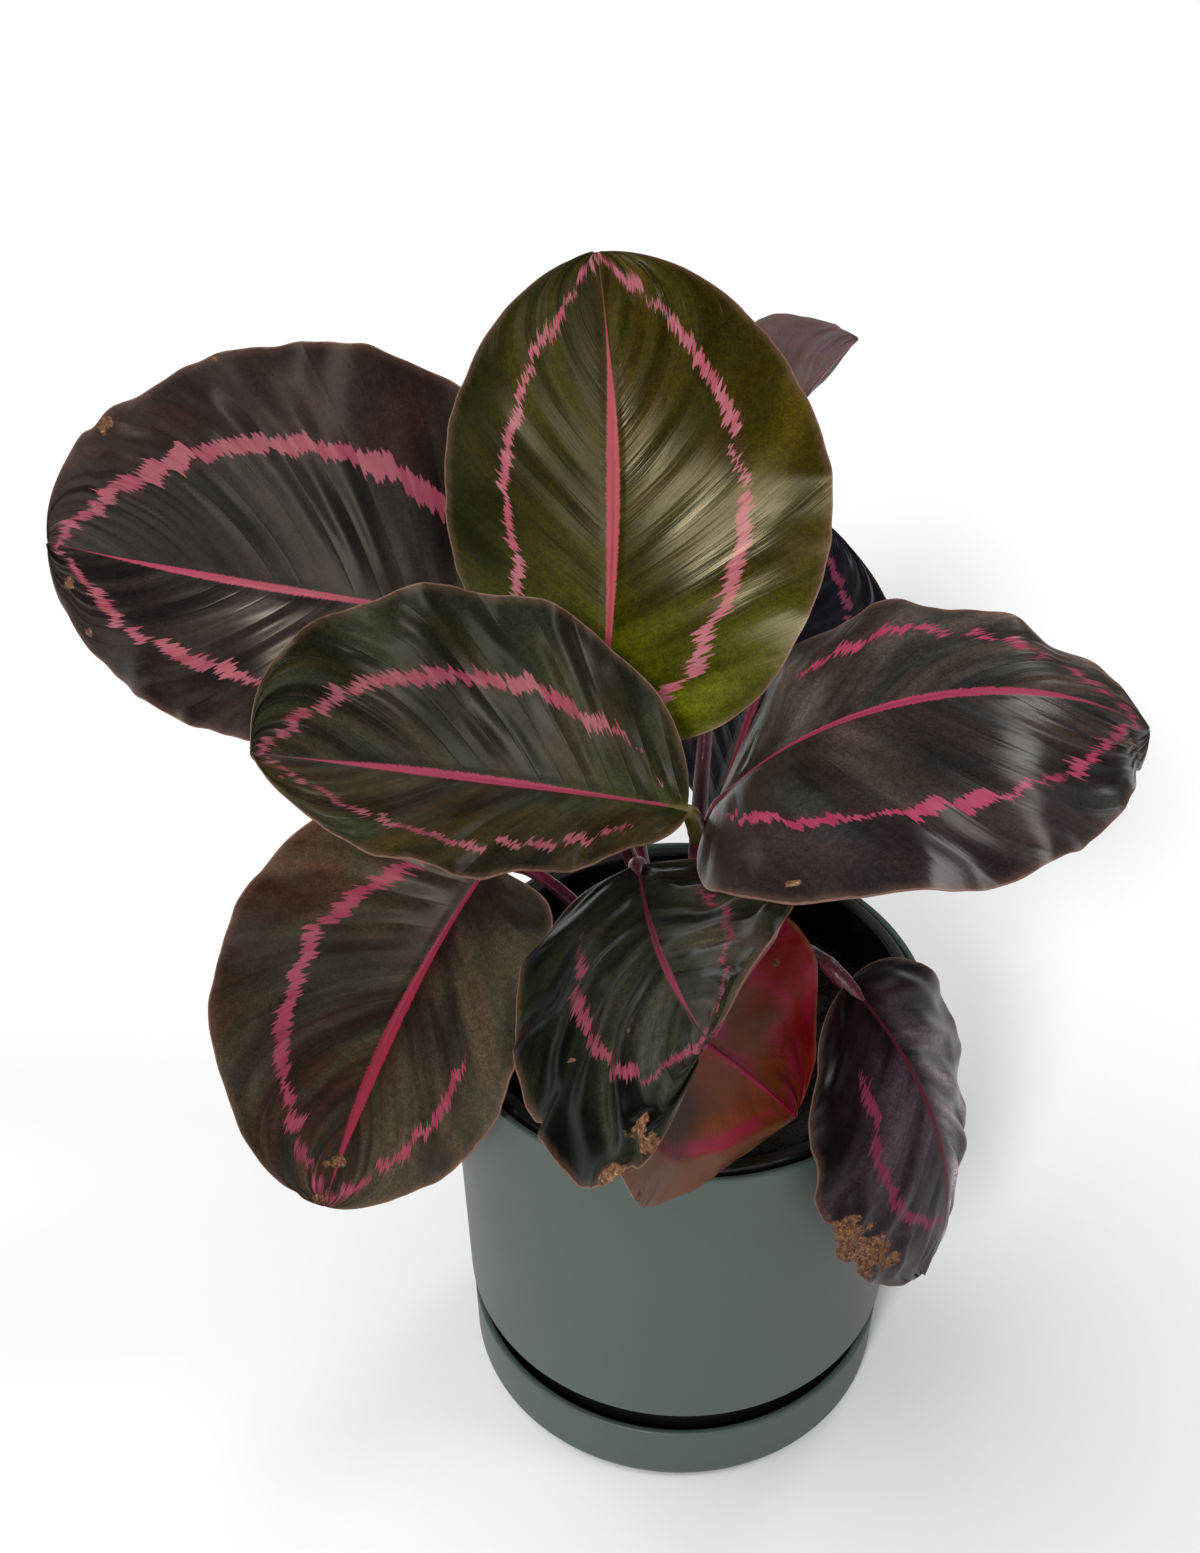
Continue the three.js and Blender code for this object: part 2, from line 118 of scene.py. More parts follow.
# ---- Stalks ----
STALK_DEPTH = 26
COLLAR_RISE = 2
KNEE_DROP = 1.5
BLADE_START = 0.004
STALK_POINTS = 64
SUNK_POINTS = 5
INTO_RIB = (0.03, 0.06)         # the stalk runs on inside the rib to these shares of the midrib
RIB_SINK = 1.1
GREEN_KNEED = ("left_front",)

# ---- Leaves ----
TIP_SHARE = 0.996               # a finer margin bulges more, so a blade ends short of its plain solid
# Each leaf: where its stalk meets it, the way its midrib sets out (heading turns from +X to +Y, rise is
# up from level) and what that loses or gains by the tip (sway, droop), how its face is turned about the
# midrib (roll at the base, twist by the tip), the blade's length, its half widths at five even places
# from base to tip on either side, how blunt or drawn out the tip is, the fold and curl of each side,
# the set-back of its base and the waves of its margin. root is where the stalk leaves the soil, sweep
# how far it runs upright and in line with the blade.
LEAVES = {
    "top": dict(
        at=(-29, -2, 263), heading=80, sway=22, rise=66, droop=23, roll=-12, twist=10, length=142, tip=0.5,
        left=(55, 55, 54, 54, 52), right=(62, 66, 66, 59, 52), fold=(-3, 9), curl=(-25, -11), lobe=4,
        wave=1.6, waves=3.2, phase=0.1, root=(-8, 8), sweep=(60, 30)),
    "left_back": dict(
        at=(-56, 58, 263), heading=190, sway=-41, rise=14, droop=21, roll=-35, twist=-23, length=158,
        tip=0.55, left=(52, 49, 48, 50, 52), right=(88, 84, 77, 67, 62), fold=(2, 24), curl=(-23, -1),
        lobe=8, wave=2.4, waves=4.1, phase=0.4, root=(-12, 18), sweep=(70, 26)),
    "left_front": dict(
        at=(-5, -43, 271), heading=177, sway=25, rise=8, droop=-15, roll=-5, twist=-8, length=122, tip=0.4,
        left=(40, 46, 50, 51, 48), right=(57, 63, 58, 50, 46), fold=(20, 25), curl=(-6, -1), lobe=0,
        wave=1.8, waves=3.6, phase=0.7, root=(-2, -9), sweep=(74, 6)),
    "right": dict(
        at=(3, -40, 271), heading=-7, sway=24, rise=59, droop=101, roll=-6, twist=33, length=138, tip=0.7,
        left=(49, 52, 43, 25, 32), right=(71, 76, 74, 62, 55), fold=(4, 10), curl=(-19, -8), lobe=7,
        wave=2.0, waves=4.4, phase=0.2, root=(14, -1), sweep=(60, 14)),
    "right_back": dict(
        at=(7, 25, 212), heading=74, sway=-3, rise=12, droop=-9, roll=33, twist=7, length=132, tip=0.55,
        left=(46, 48, 48, 46, 42), right=(52, 54, 66, 62, 74), fold=(23, 8), curl=(-3, -15), lobe=5,
        wave=1.8, waves=3.3, phase=0.5, root=(12, 12), sweep=(50, 14)),
    "back": dict(
        at=(9, 58, 294), heading=62, sway=-7, rise=43, droop=40, roll=-72, twist=-6, length=88, tip=0.95,
        left=(36, 36, 36, 33, 29), right=(36, 39, 39, 35, 29), fold=(16, 29), curl=(-8, 1), lobe=5,
        wave=1.5, waves=2.6, phase=0.3, root=(1, 4), sweep=(80, 24)),
    "low_left": dict(
        at=(-63, 10, 205), heading=226, sway=7, rise=-36, droop=27, roll=0, twist=-33, length=123, tip=0.65,
        left=(64, 50, 51, 50, 42), right=(63, 62, 60, 56, 51), fold=(24, 24), curl=(-2, -2), lobe=12,
        wave=1.6, waves=3.4, phase=0.8, root=(-20, 6), sweep=(44, 8)),
    "low_front": dict(
        at=(-18, -33, 242), heading=273, sway=13, rise=10, droop=-11, roll=1, twist=39, length=102, tip=0.35,
        left=(44, 45, 44, 44, 46), right=(57, 54, 51, 56, 70), fold=(12, -9), curl=(-4, -27), lobe=1,
        wave=2.4, waves=4.3, phase=0.0, root=(-14, -2), sweep=(50, 14)),
    "low_turned": dict(
        at=(-22, -80, 236), heading=21, sway=8, rise=-46, droop=11, roll=205, twist=33, length=93, tip=0.65,
        left=(35, 46, 52, 50, 43), right=(32, 44, 52, 49, 43), fold=(25, -5), curl=(-1, -20), lobe=5,
        wave=1.2, waves=2.7, phase=0.6, root=(-20, -14), sweep=(40, 24)),
    "low_right": dict(
        at=(45, -36, 200), heading=325, sway=6, rise=-34, droop=74, roll=9, twist=-9, length=122, tip=0.6,
        left=(56, 46, 26, 28, 28), right=(35, 44, 50, 49, 46), fold=(-7, -6), curl=(-24, -24), lobe=0,
        wave=1.4, waves=4.6, phase=0.4, root=(30, 2), sweep=(40, 20)),
}

# How each leaf is marked. face: the colours between midrib and ring, outside the ring, by the stalk, on
# its left half, a tint holding painted shade where it is darker and painted sheen where it is paler, and
# in bands along the side veins. base_lean: how much further in the stalk's colour stays towards the
# margins. ring: where it runs on the left and the right, as shares of the half width. ring_end, ring_start
# and ring_width: where along the blade it ends, where its halves fade in, and how wide they are. stripe,
# stripe_end: the midrib's stripe, and where it ends. pinks and stripe_pinks: the colours of the ring and
# the stripe. pleat and crumple: how deep the quilting between the side veins is, and its wider folds.
# veins: how many side veins. streaks and grain: how strong the dark and light streaks are, the broad ones
# partly painted shade and painted sheen that follow their bump, and how deep the fine grain. calm: how much
# duller the left and right halves are. gloss and sheen: how much is mirrored, and its tint. under: its
# underside. worn: how far its margin is worn in. dry: dry patches as (share of the length, side and share
# of the half width, radius). nicks: nicks of the margin as (side, share of the length, depth, half length).
COMMON_LOOK = dict(
    slot="leaf_dark", base_lean=0.2, ring_start=(0.1, 0.1), pinks=("863647", "95525B"), stripe_end=0.95,
    stripe_pinks=("983A4F", "7A2038"), grain=0.2, calm=(0, 0), sheen="FFF6EC", under="burgundy", dry=(),
    nicks=())
OWN_LOOKS = {
    "top": dict(
        # Its left half is darker, painted shade, and greener.
        slot="leaf_olive", face=("281E00", "322802", "484D00", "0F1501", "282500"), base_lean=0.0,
        ring=(0.6, 0.6), ring_end=0.995, ring_width=(1.4, 1.8), ring_start=(0.03, 0.03),
        pinks=("93404F", "A0606A"), stripe=2.0, stripe_end=0.9, stripe_pinks=("98404A", "862434"),
        pleat=0.3, crumple=1.0, veins=13, streaks=1.0, grain=0.9, calm=(0.19, 0.02), gloss=0.22,
        sheen="FFEFC4", worn=0.9),
    "left_back": dict(
        face=("241F1C", "241511", "24201B", "231A17", "1A1514"), ring=(0.6, 0.58), ring_end=0.97,
        ring_width=(1.9, 3.0), stripe=1.2, pleat=0.5, crumple=1.4, veins=19, streaks=1.3, grain=0.08,
        calm=(0.03, 0.1), gloss=0.26, sheen="FFF2DC", worn=1.6,
        dry=((0.62, -1.0, 1.6), (0.83, -0.94, 2.6), (0.93, 0.52, 2.0), (0.87, 0.8, 1.4)),
        nicks=((-1, 0.85, 2, 0.02), (1, 0.93, 2, 0.02))),
    "left_front": dict(
        face=("2B2619", "24200F", "2C300F", "332710", "20261A"), base_lean=0.5, ring=(0.72, 0.53),
        ring_end=0.97, ring_width=(1.2, 2.0), ring_start=(0.12, 0.16), stripe=1.6, pleat=0.5, crumple=1.4,
        veins=18, streaks=1.3, grain=0.14, calm=(0.04, 0.06), gloss=0.18, sheen="FFF2DC", worn=0.5,
        dry=((0.96, 0.5, 0.8),)),
    "right": dict(
        face=("342A24", "2C2220", "1E1814", "4A3E36", "1E2220"), ring=(0.68, 0.6), ring_end=0.95,
        ring_width=(1.2, 1.9), ring_start=(0.2, 0.08), pinks=("8C2A48", "9A3A54"), stripe=1.4,
        stripe_end=0.97, stripe_pinks=("8E2C48", "6E1C34"), pleat=0.45, crumple=1.2, veins=17, streaks=1.4,
        grain=0.6, calm=(0.06, 0.02), gloss=0.28, worn=1.3, dry=((0.92, -0.5, 1.6), (0.24, -0.9, 1.2)),
        nicks=((-1, 0.92, 2.5, 0.015), (1, 0.9, 1.5, 0.02))),
    "right_back": dict(
        face=("151320", "1C1620", "12111A", "1A141E", "1C1A20"), ring=(0.55, 0.52), ring_end=0.95,
        ring_width=(1.8, 2.2), pinks=("7A2C48", "8A4058"), stripe=2.2, pleat=0.5, crumple=1.0, veins=14,
        streaks=1.0, gloss=0.16, worn=0.8),
    "back": dict(
        face=("2A2428", "2E262A", "22201F", "2E262A", "2A2824"), ring=(0.55, 0.55), ring_end=0.94,
        ring_width=(1.4, 1.4), stripe=1.4, pleat=0.3, crumple=0.8, veins=12, streaks=0.8, gloss=0.2,
        under="grey_mauve", worn=0.5),
    "low_left": dict(
        face=("27150C", "38241A", "1C120D", "342C20", "25261A"), ring=(0.63, 0.58), ring_end=0.98,
        ring_width=(1.6, 2.2), ring_start=(0.42, 0.1), pinks=("7E2A3E", "8A3C4C"), stripe=2.1,
        stripe_end=1.0, stripe_pinks=("7E1E34", "64162A"), pleat=0.45, crumple=1.2, veins=15, streaks=1.5,
        calm=(0.26, 0.1), gloss=0.19, sheen="FFF0DC", worn=0.7,
        dry=((0.87, 0.0, 1.9), (0.88, -0.14, 1.2), (0.98, -0.3, 2)), nicks=((-1, 0.97, 1.5, 0.01),)),
    "low_front": dict(
        # Outside its ring it is near black, painted shade.
        face=("2A271E", "050503", "100F0A", "3A3026", "26281A"), ring=(0.48, 0.5), ring_end=0.99,
        ring_width=(1.0, 1.8), ring_start=(0.25, 0.3), pinks=("6E2838", "823C4A"), stripe=0.95,
        stripe_end=0.97, stripe_pinks=("7A2C40", "4A1020"), pleat=1.5, crumple=4.5, veins=8, streaks=1.7,
        calm=(0.06, 0.06), gloss=0.11, sheen="F4FFE8", worn=1.4,
        dry=((0.9, -0.95, 3), (0.95, -0.78, 4), (0.97, 0.45, 1.6), (0.7, -0.29, 0.8), (0.58, -0.64, 0.8)),
        nicks=((-1, 0.93, 4, 0.02), (-1, 0.6, 2, 0.02), (1, 0.975, 8, 0.03))),
    "low_turned": dict(
        slot="leaf_underside", face=("2A2422", "2E2624", "22201F", "2E2624", "2A2422"), ring=(0.62, 0.62),
        ring_end=0.95, ring_width=(1.8, 1.8), stripe=1.6, pleat=0.15, crumple=1.6, veins=6, streaks=0.8,
        gloss=0.2, under="turned", worn=0.6, dry=((0.59, -0.72, 1.2), (0.44, 0.97, 2.4))),
    "low_right": dict(
        # Its left half is a pale grey tint, partly painted sheen.
        face=("2C2128", "2C2227", "120407", "8A7E82", "33292E"), base_lean=-0.2, ring=(0.5, 0.5),
        ring_end=0.74, ring_width=(1.1, 1.7), ring_start=(0.6, 0.2), pinks=("5E1A32", "782C48"), stripe=1.2,
        stripe_pinks=("561426", "3A101A"), pleat=1.4, crumple=3.0, veins=9, streaks=2.0, grain=0.3,
        calm=(0.06, 0.12), gloss=0.12, sheen="FFF6F8", worn=1.2,
        dry=((0.6, -0.9, 7), (0.68, -0.84, 8), (0.54, -0.96, 5), (0.76, -0.72, 4)),
        nicks=((-1, 0.7, 3, 0.02), (-1, 0.52, 2, 0.015))),
}
LOOKS = {name: {**COMMON_LOOK, **own, "seed": seed}
         for seed, (name, own) in enumerate(OWN_LOOKS.items(), 1)}

# The undersides: by the midrib, towards the margins on the right, in the painted shadow on the left, where
# the ring shows through, in the strip along the margin, and the midrib itself.
UNDERSIDES = {
    "burgundy": dict(
        middle="4A1A26", right="42141E", patch="2E1016", ring="7A2440", margin="6A3A3C", rib="8A2848"),
    "grey_mauve": dict(
        middle="6A5450", right="644C4A", patch="564440", ring="74505A", margin="7A6862", rib="8A5A60"),
    "turned": dict(
        middle="602C14", right="741410", patch="32200E", ring="8A1838", margin="6A4A38", rib="8C1436"),
}

OUTLINE_TAN = "7A5A4C"
DRY_TAN = "7A5840"
DRY_BROWN = "442619"
DRY_PALE = "A88A6C"

LOBE_REACH = 0.3                # the set-back of a blade's base ends at this share of its length
WEAR_WAVES = ((31, 1.0, 1.0), (53, 2.1, 1.0), (97, 3.3, 0.6))   # how fast, how shifted, how strong
WEAR_SPAN = 5.2                 # from the lowest sum of those waves to the highest
WEAR_FADE = 8                   # how fast wear, and below it waves, come in from either end of a blade
WAVE_FADE = 6
NARROW = 12                     # a nick is shallower where the blade is narrower than this
# What each point of a blade carries: its shares of the length and of the half width, its half, its side vein,
# how far it lies from the ring, the midrib and the margin, and how dry it is.
MARKS = ("along", "reach", "side", "vein", "ring", "rib", "rim", "dry")
MIDRIB_STEPS = 60
BLADE_ROWS = 200
BLADE_COLUMNS = 111
BLADE_ENDS = (0.0015, 0.9997)   # the first and last row, as shares of the length
UNDERSIDE_THINNING = 0.4        # the share of its thickness that a blade loses towards its margin
RIB_HEIGHT = 1.3
RIB_SPREAD = 1.5
GROOVE_DEPTH = 0.06
GROOVE_SPREAD = 1.6
BASE_RAKE = 0.1                 # how far a side vein at the base runs on towards the tip by the margin
RAKE_GROWTH = 0.8               # how much more for each share of the length that it starts further along
RAKE_POWER = 1.15
RING_MIDDLE = 0.5               # the ring is widest here, and from here narrows to either end
RING_BASE_SPAN = 0.562
RING_POWER = 2.3
RING_STEPS = 260
FACE_GRAIN = 0.16 * MM          # the depth of a full step of the fine relief on a blade


# ---- Small helpers ----

def colour(code):
    """An sRGB hex code as linear red, green, blue and alpha."""
    parts = [int(code[i:i + 2], 16) / 255 for i in (0, 2, 4)]
    return tuple(p / 12.92 if p <= 0.04045 else ((p + 0.055) / 1.055) ** 2.4 for p in parts) + (1.0,)


def linked(name, data):
    piece = bpy.data.objects.new(name, data)
    bpy.context.scene.collection.objects.link(piece)
    return piece


def settled(source, name):
    """The result of an object's modifiers as a plain mesh object, in place of the object."""
    depsgraph = bpy.context.evaluated_depsgraph_get()
    result = source.evaluated_get(depsgraph)
    mesh = bpy.data.meshes.new_from_object(result, preserve_all_data_layers=True, depsgraph=depsgraph)
    bpy.data.objects.remove(source)
    mesh.name = name
    if not mesh.polygons:
        raise RuntimeError(f"{name} came out empty")
    return linked(name, mesh)


def seat(piece, slot, *nodes):
    """Rides the piece on the part's one body in the place of its CAD nodes."""
    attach(piece, "root")
    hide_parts(*nodes)


class Term:
    """A number inside a node tree, so that a pattern or a relief is written as a formula."""

    def __init__(self, graph, socket):
        self.graph = graph
        self.socket = socket

    def __add__(self, other):
        return self.graph.math("ADD", self, other)

    def __sub__(self, other):
        return self.graph.math("SUBTRACT", self, other)

    def __rsub__(self, other):
        return self.graph.math("SUBTRACT", other, self)

    def __mul__(self, other):
        return self.graph.math("MULTIPLY", self, other)

    def __abs__(self):
        return self.graph.math("ABSOLUTE", self)

    __radd__ = __add__
    __rmul__ = __mul__


class Graph:
    """Adds nodes to a shader or geometry tree."""

    def __init__(self, tree):
        self.tree = tree

    def feed(self, socket, value):
        if isinstance(value, Term):
            self.tree.links.new(value.socket, socket)
        else:
            socket.default_value = value

    def node(self, kind, sockets=(), **settings):
        """A new node with its settings, and its sockets fed by name or number."""
        made = self.tree.nodes.new(kind)
        for name, value in settings.items():
            setattr(made, name, value)
        for name, value in dict(sockets).items():
            self.feed(made.inputs[name], value)
        return made

    def use(self, kind, sockets=(), output=0, **settings):
        """An output of a new node."""
        return Term(self, self.node(kind, sockets, **settings).outputs[output])

    def math(self, operation, *values):
        return self.use("ShaderNodeMath", enumerate(values), operation=operation)

    def ramp(self, value, low, high, start=0.0, end=1.0):
        """A smooth step from start to end as the value goes from low to high."""
        return self.use("ShaderNodeMapRange", enumerate((value, low, high, start, end)),
                        interpolation_type="SMOOTHSTEP")

    def vector(self, *values):
        return self.use("ShaderNodeCombineXYZ", enumerate(values))

    def split(self, vector):
        return [Term(self, socket) for socket in self.node("ShaderNodeSeparateXYZ", {0: vector}).outputs]

    def noise(self, place, scale=1.0, detail=1.0, roughness=0.5):
        return self.use("ShaderNodeTexNoise", {
            "Vector": place, "Scale": scale, "Detail": detail, "Roughness": roughness})

    def woven(self, run, reach, half, detail=1.0, roughness=0.5):
        """A pattern that follows a blade: by its run along the blade, its reach and its half."""
        return self.noise(self.vector(run, reach, half), 1.0, detail, roughness)

    def chance(self, x, y, z):
        """An even random number from 0 to 1 for a cell."""
        cell = {"Vector": self.vector(x, y, z)}
        return self.use("ShaderNodeTexWhiteNoise", cell, "Value", noise_dimensions="3D")

    def scaled(self, vector, factor):
        return self.use("ShaderNodeVectorMath", {0: vector, "Scale": factor}, operation="SCALE")

    def coated(self, tone, *coats):
        """A tone under coats laid on in turn, each a share and a colour; a colour may be a hex code."""
        for share, coat in coats:
            first, second = (colour(hue) if isinstance(hue, str) else hue for hue in (tone, coat))
            tone = self.use("ShaderNodeMix", {0: share, 6: first, 7: second}, 2, data_type="RGBA")
        return tone

    def attribute(self, name):
        return self.use("ShaderNodeAttribute", output="Fac", attribute_name=name)


class Skin(Graph):
    """A material round one shader."""

    def __init__(self, name):
        self.material = bpy.data.materials.new(name)
        self.material.use_nodes = True
        super().__init__(self.material.node_tree)
        self.tree.nodes.clear()
        self.surface = self.node("ShaderNodeBsdfPrincipled")
        self.node("ShaderNodeOutputMaterial", {"Surface": Term(self, self.surface.outputs[0])})
        self.place = self.use("ShaderNodeTexCoord", output="Object")

    def finished(self, sockets, height=None, depth=0.0):
        """The material, with its shader's sockets fed by name, and bumped by a height to a depth."""
        for name, value in sockets.items():
            self.feed(self.surface.inputs[name], value)
        if height:
            normal = self.use("ShaderNodeBump", {"Strength": 1.0, "Distance": depth, "Height": height})
            self.feed(self.surface.inputs["Normal"], normal)
        return self.material


class Relief(Graph):
    """A geometry tree with named inputs, put on an object as a modifier."""

    def __init__(self, name, **kinds):
        super().__init__(bpy.data.node_groups.new(name, "GeometryNodeTree"))
        face = self.tree.interface
        for way in ("INPUT", "OUTPUT"):
            face.new_socket("Geometry", in_out=way, socket_type="NodeSocketGeometry")
        self.identifiers = {}
        for name, kind in kinds.items():
            title = name.replace("_", " ").capitalize()
            socket = face.new_socket(title, in_out="INPUT", socket_type=f"NodeSocket{kind}")
            self.identifiers[name] = socket.identifier
        entry = self.node("NodeGroupInput")
        self.terms = [Term(self, socket) for socket in entry.outputs if socket.type != "CUSTOM"]

    def attribute(self, name, data_type="FLOAT"):
        return self.use("GeometryNodeInputNamedAttribute", {"Name": name}, "Attribute", data_type=data_type)

    def moved(self, geometry, offset):
        return self.use("GeometryNodeSetPosition", {0: geometry, "Offset": offset})

    def realized(self, geometry):
        return self.use("GeometryNodeRealizeInstances", {0: geometry})

    def painted(self, geometry, material, selection=True):
        return self.use("GeometryNodeSetMaterial", {
            0: geometry, "Selection": selection, "Material": material})

    def end(self, geometry):
        self.node("NodeGroupOutput", {0: geometry})
        return self

    def put_on(self, piece, **values):
        modifier = piece.modifiers.new(self.tree.name, "NODES")
        modifier.node_group = self.tree
        for name, value in values.items():
            modifier[self.identifiers[name]] = value


# ---- Pots ----

def eased(corners):
    """A profile with each [radius, height, ease] corner rounded by its ease."""
    points = []
    for i, (radius, height, ease) in enumerate(corners):
        corner = Vector((radius, height))
        if not ease:
            points.append(corner)
            continue
        before = Vector(corners[i - 1][:2])
        after = Vector(corners[i + 1][:2])
        start = corner + (before - corner).normalized() * ease
        end = corner + (after - corner).normalized() * ease
        for k in range(ARC_STEPS + 1):
            share = k / ARC_STEPS
            points.append(start.lerp(corner, share).lerp(corner.lerp(end, share), share))
    return [(p.x * MM, p.y * MM) for p in points]


def lathed(name, corners):
    """A closed body turned about +Z from a profile that starts and ends on the axis."""
    profile = eased(corners)
    rings = profile[1:-1]
    vertices = [(0, 0, profile[0][1])]
    for radius, height in rings:
        for k in range(LATHE_SIDES):
            turn = 2 * math.pi * k / LATHE_SIDES
            vertices.append((radius * math.cos(turn), radius * math.sin(turn), height))
    vertices.append((0, 0, profile[-1][1]))
    last = len(vertices) - 1
    faces = []
    for k in range(LATHE_SIDES):
        follow = (k + 1) % LATHE_SIDES
        faces.append((0, 1 + follow, 1 + k))
        for i in range(len(rings) - 1):
            low = 1 + i * LATHE_SIDES
            high = low + LATHE_SIDES
            faces.append((low + k, low + follow, high + follow, high + k))
        top = 1 + (len(rings) - 1) * LATHE_SIDES
        faces.append((last, top + k, top + follow))
    mesh = bpy.data.meshes.new(name)
    mesh.from_pydata(vertices, [], faces)
    mesh.update()
    return linked(name, mesh)


def rods(count, ring, bottom, top):
    """Upright drills on a circle, as one object."""
    vertices = []
    faces = []
    for i in range(count):
        turn = 2 * math.pi * (i + 0.5) / count
        first = len(vertices)
        for height in (bottom, top):
            for k in range(DRILL_SIDES):
                angle = 2 * math.pi * k / DRILL_SIDES
                x = ring * math.cos(turn) + DRAIN_RADIUS * math.cos(angle)
                y = ring * math.sin(turn) + DRAIN_RADIUS * math.sin(angle)
                vertices.append((x * MM, y * MM, height * MM))
        second = first + DRILL_SIDES
        for k in range(DRILL_SIDES):
            follow = (k + 1) % DRILL_SIDES
            faces.append((first + k, first + follow, second + follow, second + k))
        faces.append(tuple(reversed(range(first, second))))
        faces.append(tuple(range(second, second + DRILL_SIDES)))
    mesh = bpy.data.meshes.new("drills")
    mesh.from_pydata(vertices, [], faces)
    return linked("drills", mesh)


def drained(body, count, ring, floor_bottom, floor_top):
    """The body with drain holes through its floor."""
    drills = rods(count, ring, floor_bottom - 1, floor_top + 1)
    cut = body.modifiers.new("drains", "BOOLEAN")
    cut.operation = "DIFFERENCE"
    cut.solver = "MANIFOLD"
    cut.object = drills
    made = settled(body, body.name)
    made.data.materials.clear()
    bpy.data.objects.remove(drills)
    return made


def smooth(piece, degrees=35):
    piece.data.shade_smooth()
    piece.data.set_sharp_from_angle(angle=math.radians(degrees))


def pot_plastic(settings):
    """Moulded grey-green plastic: fine grain, faint clouds, satin gloss, and painted shade, near black, round
    the foot and inside the saucer.
    """
    skin = Skin("pot_plastic")
    cloud = skin.noise(skin.place, 18, 3)
    grain = skin.noise(skin.place, 2600, 2)
    x, y, z = skin.split(skin.place)
    within_shade_radius = skin.ramp(x * x + y * y, PAINTED_SHADE_RADIUS ** 2, (PAINTED_SHADE_RADIUS - MM) ** 2)
    # Painted shade: near black below the hem within this radius, on the drawn-in foot and inside the saucer.
    foot = within_shade_radius * skin.ramp(z, HEM_Z * MM + 0.5 * MM, HEM_Z * MM)
    tone = skin.scaled(tuple(settings.pot_colour), skin.ramp(cloud, 0.3, 0.7, 0.94, 1.06))
    return skin.finished({
        "Base Color": skin.coated(tone, (foot, "050605")),
        "Roughness": skin.ramp(cloud + grain * 0.3, 0.3, 0.9, 0.42, 0.52)}, grain + cloud * 2, 0.06 * MM)


def grow_plastic(settings):
    """Thin black plastic, dusted with potting mix."""
    skin = Skin("grow_pot_plastic")
    dust = skin.ramp(skin.noise(skin.place, 90, 5, 0.7), 0.52, 0.75)
    return skin.finished({
        "Base Color": skin.coated((*settings.grow_colour, 1.0), (dust * 0.35, "1A1512")),
        "Roughness": dust * 0.3 + 0.38}, skin.noise(skin.place, 900, 2), 0.08 * MM)


def finish_pot(piece, material, slot, node):
    smooth(piece)
    piece.data.materials.append(material)
    seat(piece, slot, node)


def make_saucer(material):
    inner = SAUCER_BASE_RADIUS - SAUCER_WALL
    saucer = lathed("saucer_dish", [
        (0, 0, 0), (SAUCER_BASE_RADIUS - 8, 0, 0.5), (SAUCER_BASE_RADIUS, 0.6, 4.2),
        (SAUCER_TOP_RADIUS, SAUCER_HEIGHT, 1.1), (SAUCER_TOP_RADIUS - SAUCER_WALL, SAUCER_HEIGHT, 1.0),
        (inner, FLOOR, 3), (0, FLOOR, 0)])
    finish_pot(saucer, material, "pot_plastic", "saucer")


def make_outer_pot(material):
    floor_top = POT_BASE + FLOOR
    foot = FOOT_RADIUS - POT_WALL
    ledge = HEM_Z + POT_WALL + HEM_LIFT
    pot = lathed("decor_pot", [
        (0, POT_BASE, 0), (FOOT_RADIUS, POT_BASE, 2), (FOOT_RADIUS, HEM_Z + HEM_LIFT, 0.8),
        (HEM_RADIUS, HEM_Z, 1.6), (RIM_RADIUS, POT_HEIGHT, 1.1), (RIM_RADIUS - POT_WALL, POT_HEIGHT, 1.0),
        (HEM_RADIUS - POT_WALL, ledge, 1), (foot, ledge, 1), (foot, floor_top, 2), (0, floor_top, 0)])
    pot = drained(pot, POT_DRAINS, POT_DRAIN_RING, POT_BASE, floor_top)
    finish_pot(pot, material, "pot_plastic", "outer_pot")


def grow_radius(height):
    share = (height - GROW_BASE) / (GROW_TOP - GROW_LIP_DEPTH - GROW_BASE)
    return GROW_BASE_RADIUS + (GROW_TOP_RADIUS - GROW_BASE_RADIUS) * share


def make_grow_pot(material):
    lip = GROW_TOP - GROW_LIP_DEPTH
    floor_top = GROW_BASE + GROW_FLOOR
    mouth = grow_radius(lip) - GROW_WALL
    pot = lathed("grow_pot_shell", [
        (0, GROW_BASE, 0), (GROW_BASE_RADIUS, GROW_BASE, 1.5), (GROW_TOP_RADIUS, lip, 0.6),
        (GROW_LIP_RADIUS, lip + 0.8, 0.7), (GROW_LIP_RADIUS, GROW_TOP, 1.2), (mouth, GROW_TOP, 1.2),
        (mouth, lip, 0.8), (grow_radius(floor_top) - GROW_WALL, floor_top, 1), (0, floor_top, 0)])
    pot = drained(pot, GROW_DRAINS, GROW_DRAIN_RING, GROW_BASE, floor_top)
    finish_pot(pot, material, "grow_pot_plastic", "grow_pot")


# ---- Soil ----

def soil_height(radius):
    share = min(radius / SOIL_MOUND_RADIUS, 1)
    return SOIL_TOP + SOIL_MOUND * 0.5 * (1 + math.cos(math.pi * share))


